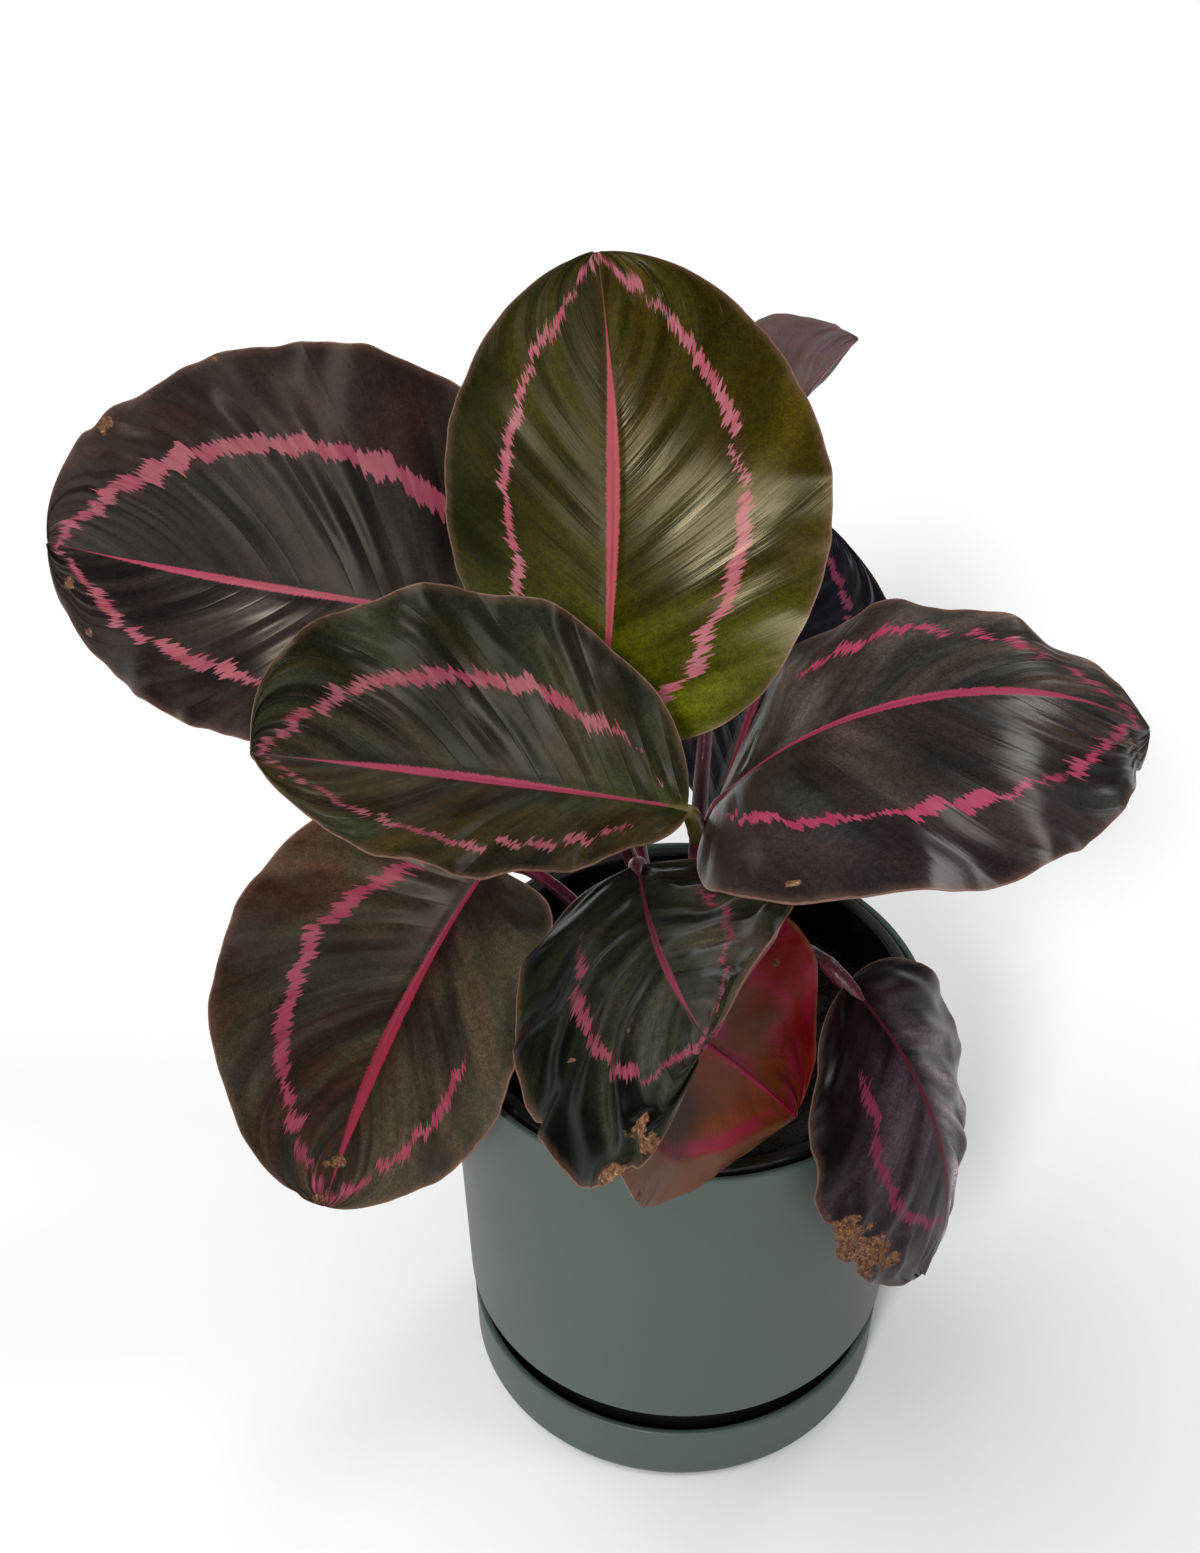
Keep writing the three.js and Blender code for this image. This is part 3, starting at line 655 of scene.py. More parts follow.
def crumb_relief():
    """Crumbs and pale grit scattered over the top of the mix."""
    relief = Relief("potting_mix", crumbs_per_area="Float", grit_per_area="Float", crumb_size="Float",
                    grit_size="Float", seed="Int", earth="Material", pale="Material")
    ground, crumbs, grit, crumb_size, grit_size, seed, earth, pale = relief.terms
    slope = relief.split(relief.use("GeometryNodeInputNormal"))[2]
    upward = relief.math("GREATER_THAN", slope, LEVEL_ENOUGH)
    lumps = (relief.noise(relief.use("GeometryNodeInputPosition"), 160, 3) - 0.5) * upward * LUMP_HEIGHT
    rough = relief.moved(ground, relief.vector(0.0, 0.0, lumps))
    layers = [relief.painted(rough, earth)]
    for density, size, material, shift in (
            (crumbs, crumb_size, earth, 0), (grit, grit_size, pale, GRIT_SEED_SHIFT)):
        points = relief.use("GeometryNodeDistributePointsOnFaces", {
            "Mesh": rough, "Selection": upward, "Density": density, "Seed": relief.math("ADD", seed, shift)})
        bead = relief.use("GeometryNodeMeshIcoSphere", {"Subdivisions": 1, "Radius": size})
        turn, stretch = (
            relief.use("FunctionNodeRandomValue", {0: least, 1: most}, data_type="FLOAT_VECTOR")
            for least, most in (((0, 0, 0), FULL_TURN), (BEAD_LEAST, BEAD_MOST)))
        beads = relief.use("GeometryNodeInstanceOnPoints", {
            "Points": points, "Instance": bead, "Rotation": turn, "Scale": stretch})
        layers.append(relief.painted(relief.realized(beads), material))
    join = relief.node("GeometryNodeJoinGeometry")
    for layer in layers:
        relief.feed(join.inputs[0], layer)
    return relief.end(Term(relief, join.outputs[0]))


def earth_material(settings):
    skin = Skin("potting_mix")
    clump = skin.noise(skin.place, 140, 4, 0.65)
    fibre = skin.noise(skin.place, 700, 3, 0.7)
    tone = skin.coated(
        (*settings.earth_colour, 1.0), (skin.ramp(clump, 0.35, 0.7), "17100B"),
        (skin.ramp(fibre, 0.62, 0.72) * 0.5, "2E2218"))
    return skin.finished({"Base Color": tone, "Roughness": 0.95}, clump + fibre * 0.5, 0.6 * MM)


def grit_material():
    skin = Skin("pale_grit")
    speck = skin.noise(skin.place, 1200, 2)
    tone = skin.coated("6E675C", (skin.ramp(speck, 0.4, 0.7), "4A4238"))
    return skin.finished({"Base Color": tone, "Roughness": 0.9}, speck, 0.2 * MM)


# ---- Leaves ----

def turned_ways(leaf, u):
    """Along the midrib, across the face to the left and out of the face, at shares u of the midrib."""
    heading = np.radians(leaf["heading"] + leaf["sway"] * u)
    pitch = np.radians(leaf["rise"] - leaf["droop"] * u)
    turn = np.radians(leaf["roll"] + leaf["twist"] * u)[..., None]
    along = np.stack([np.cos(pitch) * np.cos(heading), np.cos(pitch) * np.sin(heading), np.sin(pitch)], -1)
    level = np.stack([-np.sin(heading), np.cos(heading), 0 * heading], -1)
    up = np.cross(along, level)
    return along, level * np.cos(turn) + up * np.sin(turn), up * np.cos(turn) - level * np.sin(turn)


def midrib_points(leaf, u):
    steps = (np.arange(MIDRIB_STEPS) + 0.5) / MIDRIB_STEPS
    along = turned_ways(leaf, steps)[0] * leaf["length"] / MIDRIB_STEPS
    points = np.concatenate([[np.zeros(3)], np.cumsum(along, 0)]) + np.array(leaf["at"])
    shares = np.linspace(0, 1, MIDRIB_STEPS + 1)
    return np.stack([np.interp(u, shares, points[:, k]) for k in range(3)], -1)


def half_width(leaf, side, u):
    """Half the blade's width in millimetres, on the left for side 1 and on the right for side -1."""
    sizes = leaf["left"] if side > 0 else leaf["right"]
    blend = sum(c * w * u ** i * (1 - u) ** (4 - i) for i, (c, w) in enumerate(zip((1, 4, 6, 4, 1), sizes)))
    return blend * np.sqrt(2 * u) * (2 * (1 - u)) ** leaf["tip"]


def margin_wear(look, side, u):
    """How far the margin is worn in at u, in millimetres."""
    phase = look["seed"] * 1.7 + side
    dents = sum(strength * np.sin(run * u + turn * phase) for run, turn, strength in WEAR_WAVES)
    return look["worn"] * (0.5 + dents / WEAR_SPAN) * np.minimum(1, WEAR_FADE * np.minimum(u, 1 - u))


def blade_surface(leaf, look, u, v):
    """Points of the upper face for every u, v, and the half width there."""
    midrib = midrib_points(leaf, u * TIP_SHARE)
    along, across, out = turned_ways(leaf, u)
    points = np.zeros((len(u), len(v), 3))
    spans = np.zeros((len(u), len(v)))
    k = np.minimum(u / LOBE_REACH, 1)
    settle = np.minimum(1, WAVE_FADE * np.minimum(u, 1 - u))
    for j, share in enumerate(v):
        side = 1 if share >= 0 else -1
        index = 0 if side > 0 else 1
        reach = abs(share)
        width = half_width(leaf, side, u) - margin_wear(look, side, u)
        for nick_side, place, depth, length in look["nicks"]:
            if nick_side == side:
                width = width - depth * np.exp(-((u - place) / length) ** 2) * np.minimum(1, width / NARROW)
        bend = math.radians(leaf["curl"][index]) * reach
        slope = math.radians(leaf["fold"][index]) + bend / 2
        chord = width * reach * np.sinc(bend / 2 / math.pi)
        turn = 2 * math.pi * (leaf["waves"] * u + leaf["phase"] + index / 3)
        lift = chord * math.sin(slope) + leaf["wave"] * reach ** 2 * np.sin(turn) * settle
        back = 4 * k * (1 - k) * leaf["lobe"] * reach ** 2
        points[:, j] = (midrib + across * (chord * math.cos(slope) * side)[:, None]
                        + out * lift[:, None] - along * back[:, None])
        spans[:, j] = width
    return points, spans


def ring_reach(look, side, u):
    """Where the ring lies at u, as a share of the half width."""
    end_span = look["ring_end"] - RING_MIDDLE
    span = np.where(u > RING_MIDDLE, end_span, RING_BASE_SPAN)
    inside = 1 - (np.abs(u - RING_MIDDLE) / span) ** RING_POWER
    size = look["ring"][0 if side > 0 else 1]
    return size * np.sqrt(np.maximum(inside, 0))


def ring_distance(leaf, look, u, v):
    """Distance in millimetres from each point of the face, laid flat, to the ring, less than 0 inside it."""
    fine = np.linspace(0.01, look["ring_end"], RING_STEPS)
    distance = np.zeros((len(u), len(v)))
    for side in (1, -1):
        columns = np.flatnonzero(v >= 0) if side > 0 else np.flatnonzero(v < 0)
        reached = ring_reach(look, side, fine) * half_width(leaf, side, fine)
        ring = np.stack([fine * leaf["length"], reached], -1)
        width = half_width(leaf, side, u)
        limit = ring_reach(look, side, u)
        for j in columns:
            reach = abs(v[j])
            flat = np.stack([u * leaf["length"], width * reach], -1)
            near = np.sqrt(((flat[:, None] - ring[None]) ** 2).sum(-1)).min(1)
            distance[:, j] = np.where((reach < limit) & (u < look["ring_end"]), -near, near)
    return distance


def dryness(leaf, look, u, v):
    """1 in the middle of a dry patch, 0 at its edge and beyond."""
    dry = np.zeros((len(u), len(v)))
    for place, share, radius in look["dry"]:
        side = 1 if share >= 0 else -1
        centre_x = place * leaf["length"]
        centre_y = share * half_width(leaf, side, np.array([place]))[0]
        x = (u * leaf["length"])[:, None]
        y = np.stack([half_width(leaf, 1 if s >= 0 else -1, u) * s for s in v], -1)
        away = np.sqrt((x - centre_x) ** 2 + (y - centre_y) ** 2)
        dry = np.maximum(dry, 1 - away / (2 * radius))
    return np.maximum(dry, 0)


def blade_mesh(name, leaf, look, settings):
    """The blade as one closed skin, with what its marks follow stored on its points."""
    first, last = BLADE_ENDS
    u = first + (last - first) * (1 - np.cos(np.linspace(0, math.pi, BLADE_ROWS))) / 2
    v = np.linspace(-1, 1, BLADE_COLUMNS)
    upper, spans = blade_surface(leaf, look, u, v)
    out = turned_ways(leaf, u)[2]
    face = np.cross(np.gradient(upper, axis=0), np.gradient(upper, axis=1))
    face /= np.linalg.norm(face, axis=-1, keepdims=True) + 1e-9
    face += 0.02 * out[:, None]
    face /= np.linalg.norm(face, axis=-1, keepdims=True)
    reach = np.abs(v)[None] * np.ones((len(u), 1))
    rib = reach * spans
    ridge = RIB_HEIGHT * np.exp(-(rib / RIB_SPREAD) ** 2) * (1 - 0.85 * u[:, None])
    depth = settings.thickness / MM * (1 - UNDERSIDE_THINNING * reach ** 2) + ridge
    upper = upper - face * (GROOVE_DEPTH * np.exp(-(rib / GROOVE_SPREAD) ** 2) * (1 - u[:, None]))[..., None]
    lower = upper - face * depth[..., None]
    rows, columns = len(u), len(v)
    count = rows * columns
    grid = np.arange(count).reshape(rows, columns)
    a, b, c, d = grid[:-1, :-1], grid[1:, :-1], grid[1:, 1:], grid[:-1, 1:]
    tops = np.stack([a, b, c, d], -1).reshape(-1, 4)
    bottoms = np.stack([d, c, b, a], -1).reshape(-1, 4) + count
    loop = np.concatenate([grid[:-1, 0], grid[-1, :-1], grid[:0:-1, -1], grid[0, :0:-1]])
    after = np.roll(loop, -1)
    walls = np.stack([loop, loop + count, after + count, after], -1)
    faces = np.concatenate([tops, bottoms, walls])
    mesh = bpy.data.meshes.new(name)
    vertices = np.concatenate([upper.reshape(-1, 3), lower.reshape(-1, 3)]) * MM
    mesh.from_pydata(vertices.tolist(), [], faces.tolist())
    side = np.where(v >= 0, 1.0, -1.0)[None] * np.ones((rows, 1))
    rake = reach ** RAKE_POWER
    along = u[:, None] * np.ones((1, columns))
    vein = (along - BASE_RAKE * rake) / (1 + RAKE_GROWTH * rake)
    ring = ring_distance(leaf, look, u, v)
    marks = (along, reach, side, vein, ring, rib, spans * (1 - reach), dryness(leaf, look, u, v))
    for mark, values in zip(MARKS, marks):
        flat = values.reshape(-1).astype(np.float32)
        mesh.attributes.new(mark, "FLOAT", "POINT").data.foreach_set("value", np.concatenate([flat, flat]))
    under = np.concatenate([np.zeros(count), np.ones(count)]).astype(np.float32)
    mesh.attributes.new("under", "FLOAT", "POINT").data.foreach_set("value", under)
    ways = np.concatenate([face.reshape(-1, 3), face.reshape(-1, 3)]).astype(np.float32)
    mesh.attributes.new("face", "FLOAT_VECTOR", "POINT").data.foreach_set("vector", ways.reshape(-1))
    corners = np.zeros(len(mesh.loops), np.int32)
    mesh.loops.foreach_get("vertex_index", corners)
    flat_u = np.concatenate([along.reshape(-1)] * 2)[corners]
    flat_v = np.concatenate([(np.tile(v, rows) + 1) / 2] * 2)[corners]
    layer = mesh.uv_layers.new(name="leaf")
    layer.data.foreach_set("uv", np.stack([flat_u, flat_v], -1).astype(np.float32).reshape(-1))
    crease_margin(mesh, loop, after, count)
    return mesh


def crease_margin(mesh, loop, after, count):
    """Keeps the thin side of the blade from being shaded into its faces."""
    mesh.shade_smooth()
    ends = np.zeros(2 * len(mesh.edges), np.int64)
    mesh.edges.foreach_get("vertices", ends)
    ends = np.sort(ends.reshape(-1, 2), axis=1)
    size = 2 * count
    keys = ends[:, 0] * size + ends[:, 1]
    border = np.sort(np.stack([loop, after], -1), axis=1)
    wanted = np.concatenate([border[:, 0] * size + border[:, 1],
                             (border[:, 0] + count) * size + border[:, 1] + count])
    sharp = mesh.attributes.new("sharp_edge", "BOOLEAN", "EDGE")
    sharp.data.foreach_set("value", np.isin(keys, wanted))


def pleat_relief():
    """Quilts a blade between its side veins, crumples it and ruffles its margin."""
    relief = Relief("pleats", side_veins="Float", pleat_depth="Float", crumple_depth="Float",
                    ruffle_depth="Float", seed="Float", upper_face="Material", lower_face="Material")
    blade, veins, pleat, crumple, ruffle, seed, upper, lower = relief.terms
    along, reach, side, vein = (relief.attribute(mark) for mark in MARKS[:4])
    row = vein * veins
    swell = relief.ramp(relief.woven(row * 0.4, reach * 1.4, side * 5 + seed * 3.7), 0.36, 0.66, 0.05, 1.6)
    ridge = relief.math("SINE", row * math.pi)
    arch = ridge * ridge - 0.5
    body = relief.ramp(reach, 0.02, 0.3) * relief.ramp(reach, 1.0, 0.75, 0.35, 1.0)
    body = body * relief.ramp(along, 0.0, 0.1)
    fine = (relief.woven(row * 0.9, reach * 1.6, side * 9 + seed) - 0.5) * 2.4
    edge = relief.math("POWER", reach, 6.0)
    curl = (relief.woven(along * 11, side * 4, seed) - 0.5) * ruffle * edge
    wide = (relief.woven(vein * 6, reach * 1.8, side * 3 + seed) - 0.5) * crumple
    ends = relief.ramp(along, 0.0, 0.12) * relief.ramp(along, 1.0, 0.93)
    lift = ((arch * swell + fine) * pleat + wide) * body + curl * ends
    moved = relief.moved(blade, relief.scaled(relief.attribute("face", "FLOAT_VECTOR"), lift))
    is_under = relief.math("GREATER_THAN", relief.attribute("under"), 0.75)
    return relief.end(relief.painted(relief.painted(relief.realized(moved), upper), lower, is_under))


def dry_crust(skin, marked, dry):
    """Lays torn, dried-out patches over the colour, and returns it with how dry each place is."""
    shape = skin.noise(skin.place, 260, 3, 0.6)
    crust = skin.noise(skin.place, 900, 4, 0.7)
    dead = skin.ramp(dry + (shape - 0.5) * 1.4, 0.42, 0.56) * skin.ramp(dry, 0.02, 0.12)
    tone = skin.coated(
        DRY_BROWN, (skin.ramp(crust, 0.36, 0.64), DRY_TAN), (skin.ramp(crust, 0.6, 0.7), DRY_PALE))
    return skin.coated(marked, (dead, tone)), dead, crust


def upper_face(name, look, settings):
    """A glossy dark face with a feathered ring, a pink midrib, a thin outline and dry patches."""
    skin = Skin(f"{name}_upper_face")
    ramp, woven, coated = skin.ramp, skin.woven, skin.coated
    along, reach, side, vein, ring, rib, rim, dry = (skin.attribute(mark) for mark in MARKS)
    seed = look["seed"] * 3.1
    is_left = skin.math("GREATER_THAN", side, 0.0)
    row = vein * look["veins"]
    sector = skin.math("FLOOR", row)
    within = row - sector
    luck, other_luck, thin_luck = (skin.chance(sector, side, seed + shift) for shift in (0, 40, 80))
    stroke = woven(vein * 150, reach * 5, side * 7 + seed) - 0.5
    feather = woven(vein * 300, reach * 7, side * 3 + seed + 9) - 0.5
    drift = woven(vein * 7, side * 6, seed + 20) - 0.5

    lean = (within - 0.5) * (luck * 5 - 0.5) + (other_luck - 0.5) * 2.2 + drift * 4
    breadth, started = (
        is_left * (left - right) + right for left, right in (look["ring_width"], look["ring_start"]))
    breadth = breadth * (drift * 1.3 + 0.9)
    breadth = breadth * ramp(thin_luck, 0.02, 0.25, 0.3, 1.0) * ramp(along, 0.7, 1.0, 1.0, 0.6)
    breadth = breadth - ramp(along - started, -0.1, 0.12, 2.4, 0.0)
    away = abs(ring + lean + stroke * 6 * ramp(along, 0.8, 1.0, 1.0, 0.3))
    band = ramp(breadth + feather * 4 - away, -0.3, 0.3)
    end = look["stripe_end"]
    stripe_shape = ramp(along, 0.1, 0.5, 0.35, 1.0) * ramp(along, end - 0.38, end, 1.0, 0.0)
    stripe = ramp(stripe_shape * look["stripe"] - rib + feather * 1.6 * stripe_shape, -0.25, 0.25)
    line = ramp(rib, 0.7, 0.2) * ramp(along, 0.75, 0.4)

    fine = woven(vein * 85, reach * 2.2, side * 11 + seed + 3, 3, 0.6)
    broad = woven(vein * 15, reach * 1.7, side * 5 + seed + 14, 1, 0.4)
    hair = woven(vein * 42, reach * 1.6, side * 8 + seed + 31, 2)
    patch = woven(vein * 5, reach * 1.6, side * 2 + seed + 6, 2)
    hue = woven(vein * 11, reach * 1.4, side * 4 + seed + 55, 2)
    speckle = skin.noise(skin.place, 1500, 2, 0.6)
    mottle = skin.noise(skin.place, 380, 3, 0.7)
    inner, outer, base, left_tint_and_light, second = look["face"]
    # The left half's tint is painted shade where it is darker than the face and painted sheen where it is
    # paler.
    tone = coated(
        inner, (ramp(ring + drift * 6, -4, 4), outer), (is_left * ramp(reach, 0.0, 0.25) * 0.8, left_tint_and_light),
        (ramp(hue, 0.4, 0.62) * 0.7, second),
        (ramp(along + reach * look["base_lean"] + patch * 0.2, 0.5, 0.08), base))
    # shade: random tone; the broad bands are partly painted shade and painted sheen that follow their bump,
    # and the creases at the side veins are darkened as painted shade.
    depth = look["streaks"]
    shade = ramp(fine, 0.3, 0.7, 1 - 0.1 * depth, 1 + 0.08 * depth)
    shade = shade * ramp(broad, 0.34, 0.66, 1 - 0.32 * depth, 1 + 0.28 * depth)
    shade = shade * ramp(patch, 0.34, 0.66, 0.74, 1.22) * ramp(speckle, 0.3, 0.7, 0.74, 1.28)
    shade = shade * ramp(mottle, 0.36, 0.64, 0.84, 1.18)
    tone = skin.scaled(tone, shade * ramp(abs(within - 0.5), 0.38, 0.5, 1.0, 0.9))
    deep, pale = look["pinks"]
    plain, lined = look["stripe_pinks"]
    marked = coated(
        tone, (band * 0.96, coated(deep, (ramp(fine + luck * 0.3, 0.4, 0.85), pale))),
        (stripe * 0.97, coated(plain, (line * 0.6, lined))),
        (ramp(rim + stroke * 2, 3.4, 0.4) * 0.2, OUTLINE_TAN),
        (ramp(rim + stroke * 0.8, 0.7, 0.2) * 0.75, OUTLINE_TAN))
    marked, dead, crust = dry_crust(skin, marked, dry)
    gloss = ramp(broad + fine * 0.3, 0.4, 0.9, settings.roughness, settings.roughness + 0.12)
    left_calm, right_calm = look["calm"]
    gloss = gloss + is_left * (left_calm - right_calm) + right_calm
    clear = ramp(rib, 1.0, 4.0, 0.2, 1.0)
    groove = ramp(abs(within - 0.5), 0.4, 0.5, 1.0, 0.0)
    relief = (broad * 1.3 + hair * 0.25 + fine * look["grain"] + groove * 0.2) * clear + crust * dead * 2
    return skin.finished({
        "Base Color": marked, "Roughness": gloss + dead * 0.35 + band * 0.05 + stripe * 0.15,
        "Specular IOR Level": look["gloss"], "Specular Tint": colour(look["sheen"])}, relief, FACE_GRAIN)


def lower_face(name, look, settings):
    """The burgundy underside, with its raised midrib and the ring showing through as a blush."""
    skin = Skin(f"{name}_lower_face")
    ramp, woven, coated = skin.ramp, skin.woven, skin.coated
    along, reach, side, vein, ring, rib, rim, dry = (skin.attribute(mark) for mark in MARKS)
    hues = UNDERSIDES[look["under"]]
    seed = look["seed"] * 2.3 + 50
    is_left = skin.math("GREATER_THAN", side, 0.0)
    fine = woven(vein * 85, reach * 2.2, side * 11 + seed, 3, 0.6)
    broad = woven(vein * 9, reach * 1.5, side * 5 + seed, 1, 0.4)
    cloud = woven(along * 4, reach * 2.2, side * 2 + seed, 2)
    feather = woven(vein * 150, reach * 5, side * 3 + seed) - 0.5
    folds = woven(vein * 3.4, reach * 1.3, side * 4 + seed, 2)
    spots = woven(along * 7, reach * 4, side + seed, 2)
    speckle = skin.noise(skin.place, 1500, 2, 0.6)
    from_middle = ramp(reach + (cloud - 0.5) * 0.8, 0.15, 0.75)
    # Painted shadow: a darker patch on the left half from the base to past the middle, away from the midrib.
    painted_shadow = ramp(along + (cloud - 0.5) * 0.5, 0.78, 0.45) * ramp(reach, 0.12, 0.4) * is_left
    tone = coated(
        hues["middle"], (from_middle * (is_left * -1.0 + 1.0), hues["right"]), (painted_shadow * 0.9, hues["patch"]))
    # shade: random tone, with painted shade following the folds of the bump.
    shade = ramp(fine, 0.3, 0.7, 0.92, 1.08) * ramp(speckle, 0.3, 0.7, 0.88, 1.12)
    shade = shade * ramp(cloud, 0.3, 0.7, 0.8, 1.15) * ramp(folds, 0.3, 0.7, 0.76, 1.22)
    blush = ramp(2.4 + feather * 5 - abs(ring + (cloud - 0.5) * 14), -1.8, 1.8)
    tone = coated(
        skin.scaled(tone, shade), (ramp(spots, 0.54, 0.66) * (1.0 - is_left) * 0.5, hues["ring"]),
        (ramp(ring, 1.5, 4.0) * is_left * 0.7, hues["margin"]),
        (blush * ramp(folds, 0.42, 0.58, 0.25, 1.0) * 0.85, hues["ring"]),
        (ramp(1.3 - 0.9 * along - rib, -0.2, 0.2), hues["rib"]),
        (ramp(rim, 2.2, 0.3) * 0.6, hues["margin"]))
    tone, dead, crust = dry_crust(skin, tone, dry)
    gloss = ramp(fine + cloud, 0.8, 1.2, settings.roughness + 0.08, settings.roughness + 0.22)
    return skin.finished({
        "Base Color": tone, "Roughness": gloss + dead * 0.3, "Specular IOR Level": 0.12},
        fine * 0.2 + broad * 2.4 + folds * 13 + crust * dead, FACE_GRAIN)


# ---- Stalks ----

def stalk_points(leaf):
    """From upright in the soil to in line with the midrib, running on into the rib under the blade."""
    x, y = leaf["root"]
    upright, in_line = leaf["sweep"]
    along, _, out = (way[0] for way in turned_ways(leaf, np.array([0.0])))
    foot = np.array([x, y, SOIL_TOP - STALK_DEPTH], float)
    collar = np.array([x, y, SOIL_TOP + SOIL_MOUND + COLLAR_RISE], float)
    end = np.array(leaf["at"]) + along * (leaf["length"] * BLADE_START - SEAT) - out * KNEE_DROP
    first = collar + np.array([0, 0, upright])
    second = end - along * in_line
    straight = np.linspace(0, 1, SUNK_POINTS + 1)[:-1, None]
    t = np.linspace(0, 1, STALK_POINTS)[:, None]
    sweep = (1 - t) ** 3 * collar + 3 * (1 - t) ** 2 * t * first
    sweep = sweep + 3 * (1 - t) * t ** 2 * second + t ** 3 * end
    shares = np.array(INTO_RIB)
    into = midrib_points(leaf, shares) - turned_ways(leaf, shares)[2] * RIB_SINK
    return np.concatenate([foot + (collar - foot) * straight, sweep, into]) * MM


def stalk_relief():
    """Sweeps a round stalk along its path, thinner upwards, with the swollen joint below the blade."""
    relief = Relief("stalk_sweep", base_radius="Float", top_radius="Float", knee_radius="Float", sides="Int",
                    skin="Material")
    path, base, top, knee, sides, skin = relief.terms
    share = relief.use("GeometryNodeSplineParameter", output="Factor")
    plain = base + (top - base) * relief.ramp(share, 0.3, 0.82)
    swollen = relief.ramp(share, 0.84, 0.88) * relief.ramp(share, 0.985, 0.95)
    radius = (plain + (knee - plain) * swollen) * relief.ramp(share, 0.96, 1.0, 1.0, 0.5)
    stored = relief.use("GeometryNodeStoreNamedAttribute", {0: path, "Name": "share", "Value": share},
                        data_type="FLOAT", domain="POINT")
    circle = relief.use("GeometryNodeCurvePrimitiveCircle", {"Resolution": sides, "Radius": 1.0})
    tube = relief.use("GeometryNodeCurveToMesh", {
        0: stored, "Profile Curve": circle, "Scale": radius, "Fill Caps": True})
    uneven = (relief.noise(relief.use("GeometryNodeInputPosition"), 90, 2) - 0.5) * 0.0008
    moved = relief.moved(tube, relief.scaled(relief.use("GeometryNodeInputNormal"), uneven))
    return relief.end(relief.painted(relief.realized(moved), skin))


def stalk_skin(name, knee_colour, settings):
    """Crimson with fine lines along it, and its own colour at the knee."""
    skin = Skin(f"{name}_skin")
    x, y, z = skin.split(skin.place)
    lines = skin.noise(skin.vector(x * 900, y * 900, z * 40), 1, 2)
    tone = skin.coated(
        (*settings.skin_colour, 1.0), (skin.ramp(skin.noise(skin.place, 60, 3), 0.35, 0.65), "360A18"),
        (skin.ramp(lines, 0.5, 0.75) * 0.45, "7E3048"),
        (skin.ramp(skin.attribute("share"), 0.82, 0.9) * 0.8, knee_colour))
    roughness = skin.ramp(lines, 0.3, 0.7, 0.32, 0.5)
    return skin.finished({"Base Color": tone, "Roughness": roughness}, lines, 0.2 * MM)


# ---- Stage ----

def make_floor(settings):
    size = settings.floor_size / 2
    mesh = bpy.data.meshes.new("floor")
    corners = [(-size, -size, 0), (size, -size, 0), (size, size, 0), (-size, size, 0)]
    mesh.from_pydata(corners, [], [(0, 1, 2, 3)])
    mesh.materials.append(Skin("floor_paint").finished({
        "Base Color": (*settings.floor_colour, 1.0), "Roughness": 0.9, "Specular IOR Level": 0.1}))
    linked("floor", mesh)


def soft_light(name, azimuth, elevation, breadth, strength):
    """A far light from an azimuth, 0 in front and 90 on the right; breadth is the angle that it fills."""
    turn = math.radians(azimuth)
    rise = math.radians(elevation)
    way = Vector((math.sin(turn) * math.cos(rise), -math.cos(turn) * math.cos(rise), math.sin(rise)))
    data = bpy.data.lights.new(name, "SUN")
    data.angle = math.radians(breadth)
    data.energy = strength
    light = linked(name, data)
    light.location = AIM + way
    light.visible_glossy = name not in SHEENLESS
    light.rotation_mode = "QUATERNION"
    light.rotation_quaternion = way.to_track_quat("Z", "Y")


def make_camera():
    back = Vector((0, -math.cos(CAMERA_ELEVATION), math.sin(CAMERA_ELEVATION)))
    right = Vector((1, 0, 0))
    up = back.cross(right)
    tilted_right = right * math.cos(CAMERA_ROLL) + up * math.sin(CAMERA_ROLL)
    tilted_up = up * math.cos(CAMERA_ROLL) - right * math.sin(CAMERA_ROLL)
    data = bpy.data.cameras.new("camera")
    data.sensor_width = SENSOR
    data.lens = FOCAL_PIXELS * SENSOR / FRAME_LONG_SIDE
    camera = linked("camera", data)
    place = AIM + back * CAMERA_DISTANCE
    turn = Matrix((tilted_right, tilted_up, back)).transposed().to_4x4()
    camera.matrix_world = Matrix.Translation(place) @ turn
    bpy.context.scene.camera = camera


# ---- Settings ----

class PotSettings(bpy.types.PropertyGroup):
    pot_colour: FloatVectorProperty(
        name="Pot", description="Colour of the outer pot and its saucer", subtype="COLOR", size=3,
        min=0, max=1, default=colour("3C4842")[:3])
    grow_colour: FloatVectorProperty(
        name="Grow pot", description="Colour of the grow pot", subtype="COLOR", size=3,
        min=0, max=1, default=colour("060706")[:3])


class SoilSettings(bpy.types.PropertyGroup):
    earth_colour: FloatVectorProperty(
        name="Earth", description="Darkest colour of the potting mix", subtype="COLOR", size=3,
        min=0, max=1, default=colour("0A0705")[:3])
    crumbs: FloatProperty(
        name="Crumbs", description="Crumbs on each square metre of the mix", default=150000, min=0)
    grit: FloatProperty(name="Grit", description="Pale grains on each square metre", default=2500, min=0)
    crumb_size: FloatProperty(
        name="Crumb size", description="Radius of a crumb", default=1.1 * MM, unit="LENGTH", min=0)
    grit_size: FloatProperty(
        name="Grit size", description="Radius of a pale grain", default=1.3 * MM, unit="LENGTH", min=0)


class LeafSettings(bpy.types.PropertyGroup):
    thickness: FloatProperty(
        name="Thickness", description="Thickness of a blade beside its midrib", default=0.6 * MM,
        unit="LENGTH", min=0.1 * MM)
    pleats: FloatProperty(
        name="Pleats", description="Multiplies the depth of the pleats", default=1.0, min=0, max=3)
    ruffle: FloatProperty(
        name="Ruffle", description="How far the margin curls up and down", default=3.0 * MM,
        unit="LENGTH", min=0)
    roughness: FloatProperty(
        name="Roughness", description="Roughness of the upper faces", default=0.19, min=0.1, max=0.8)


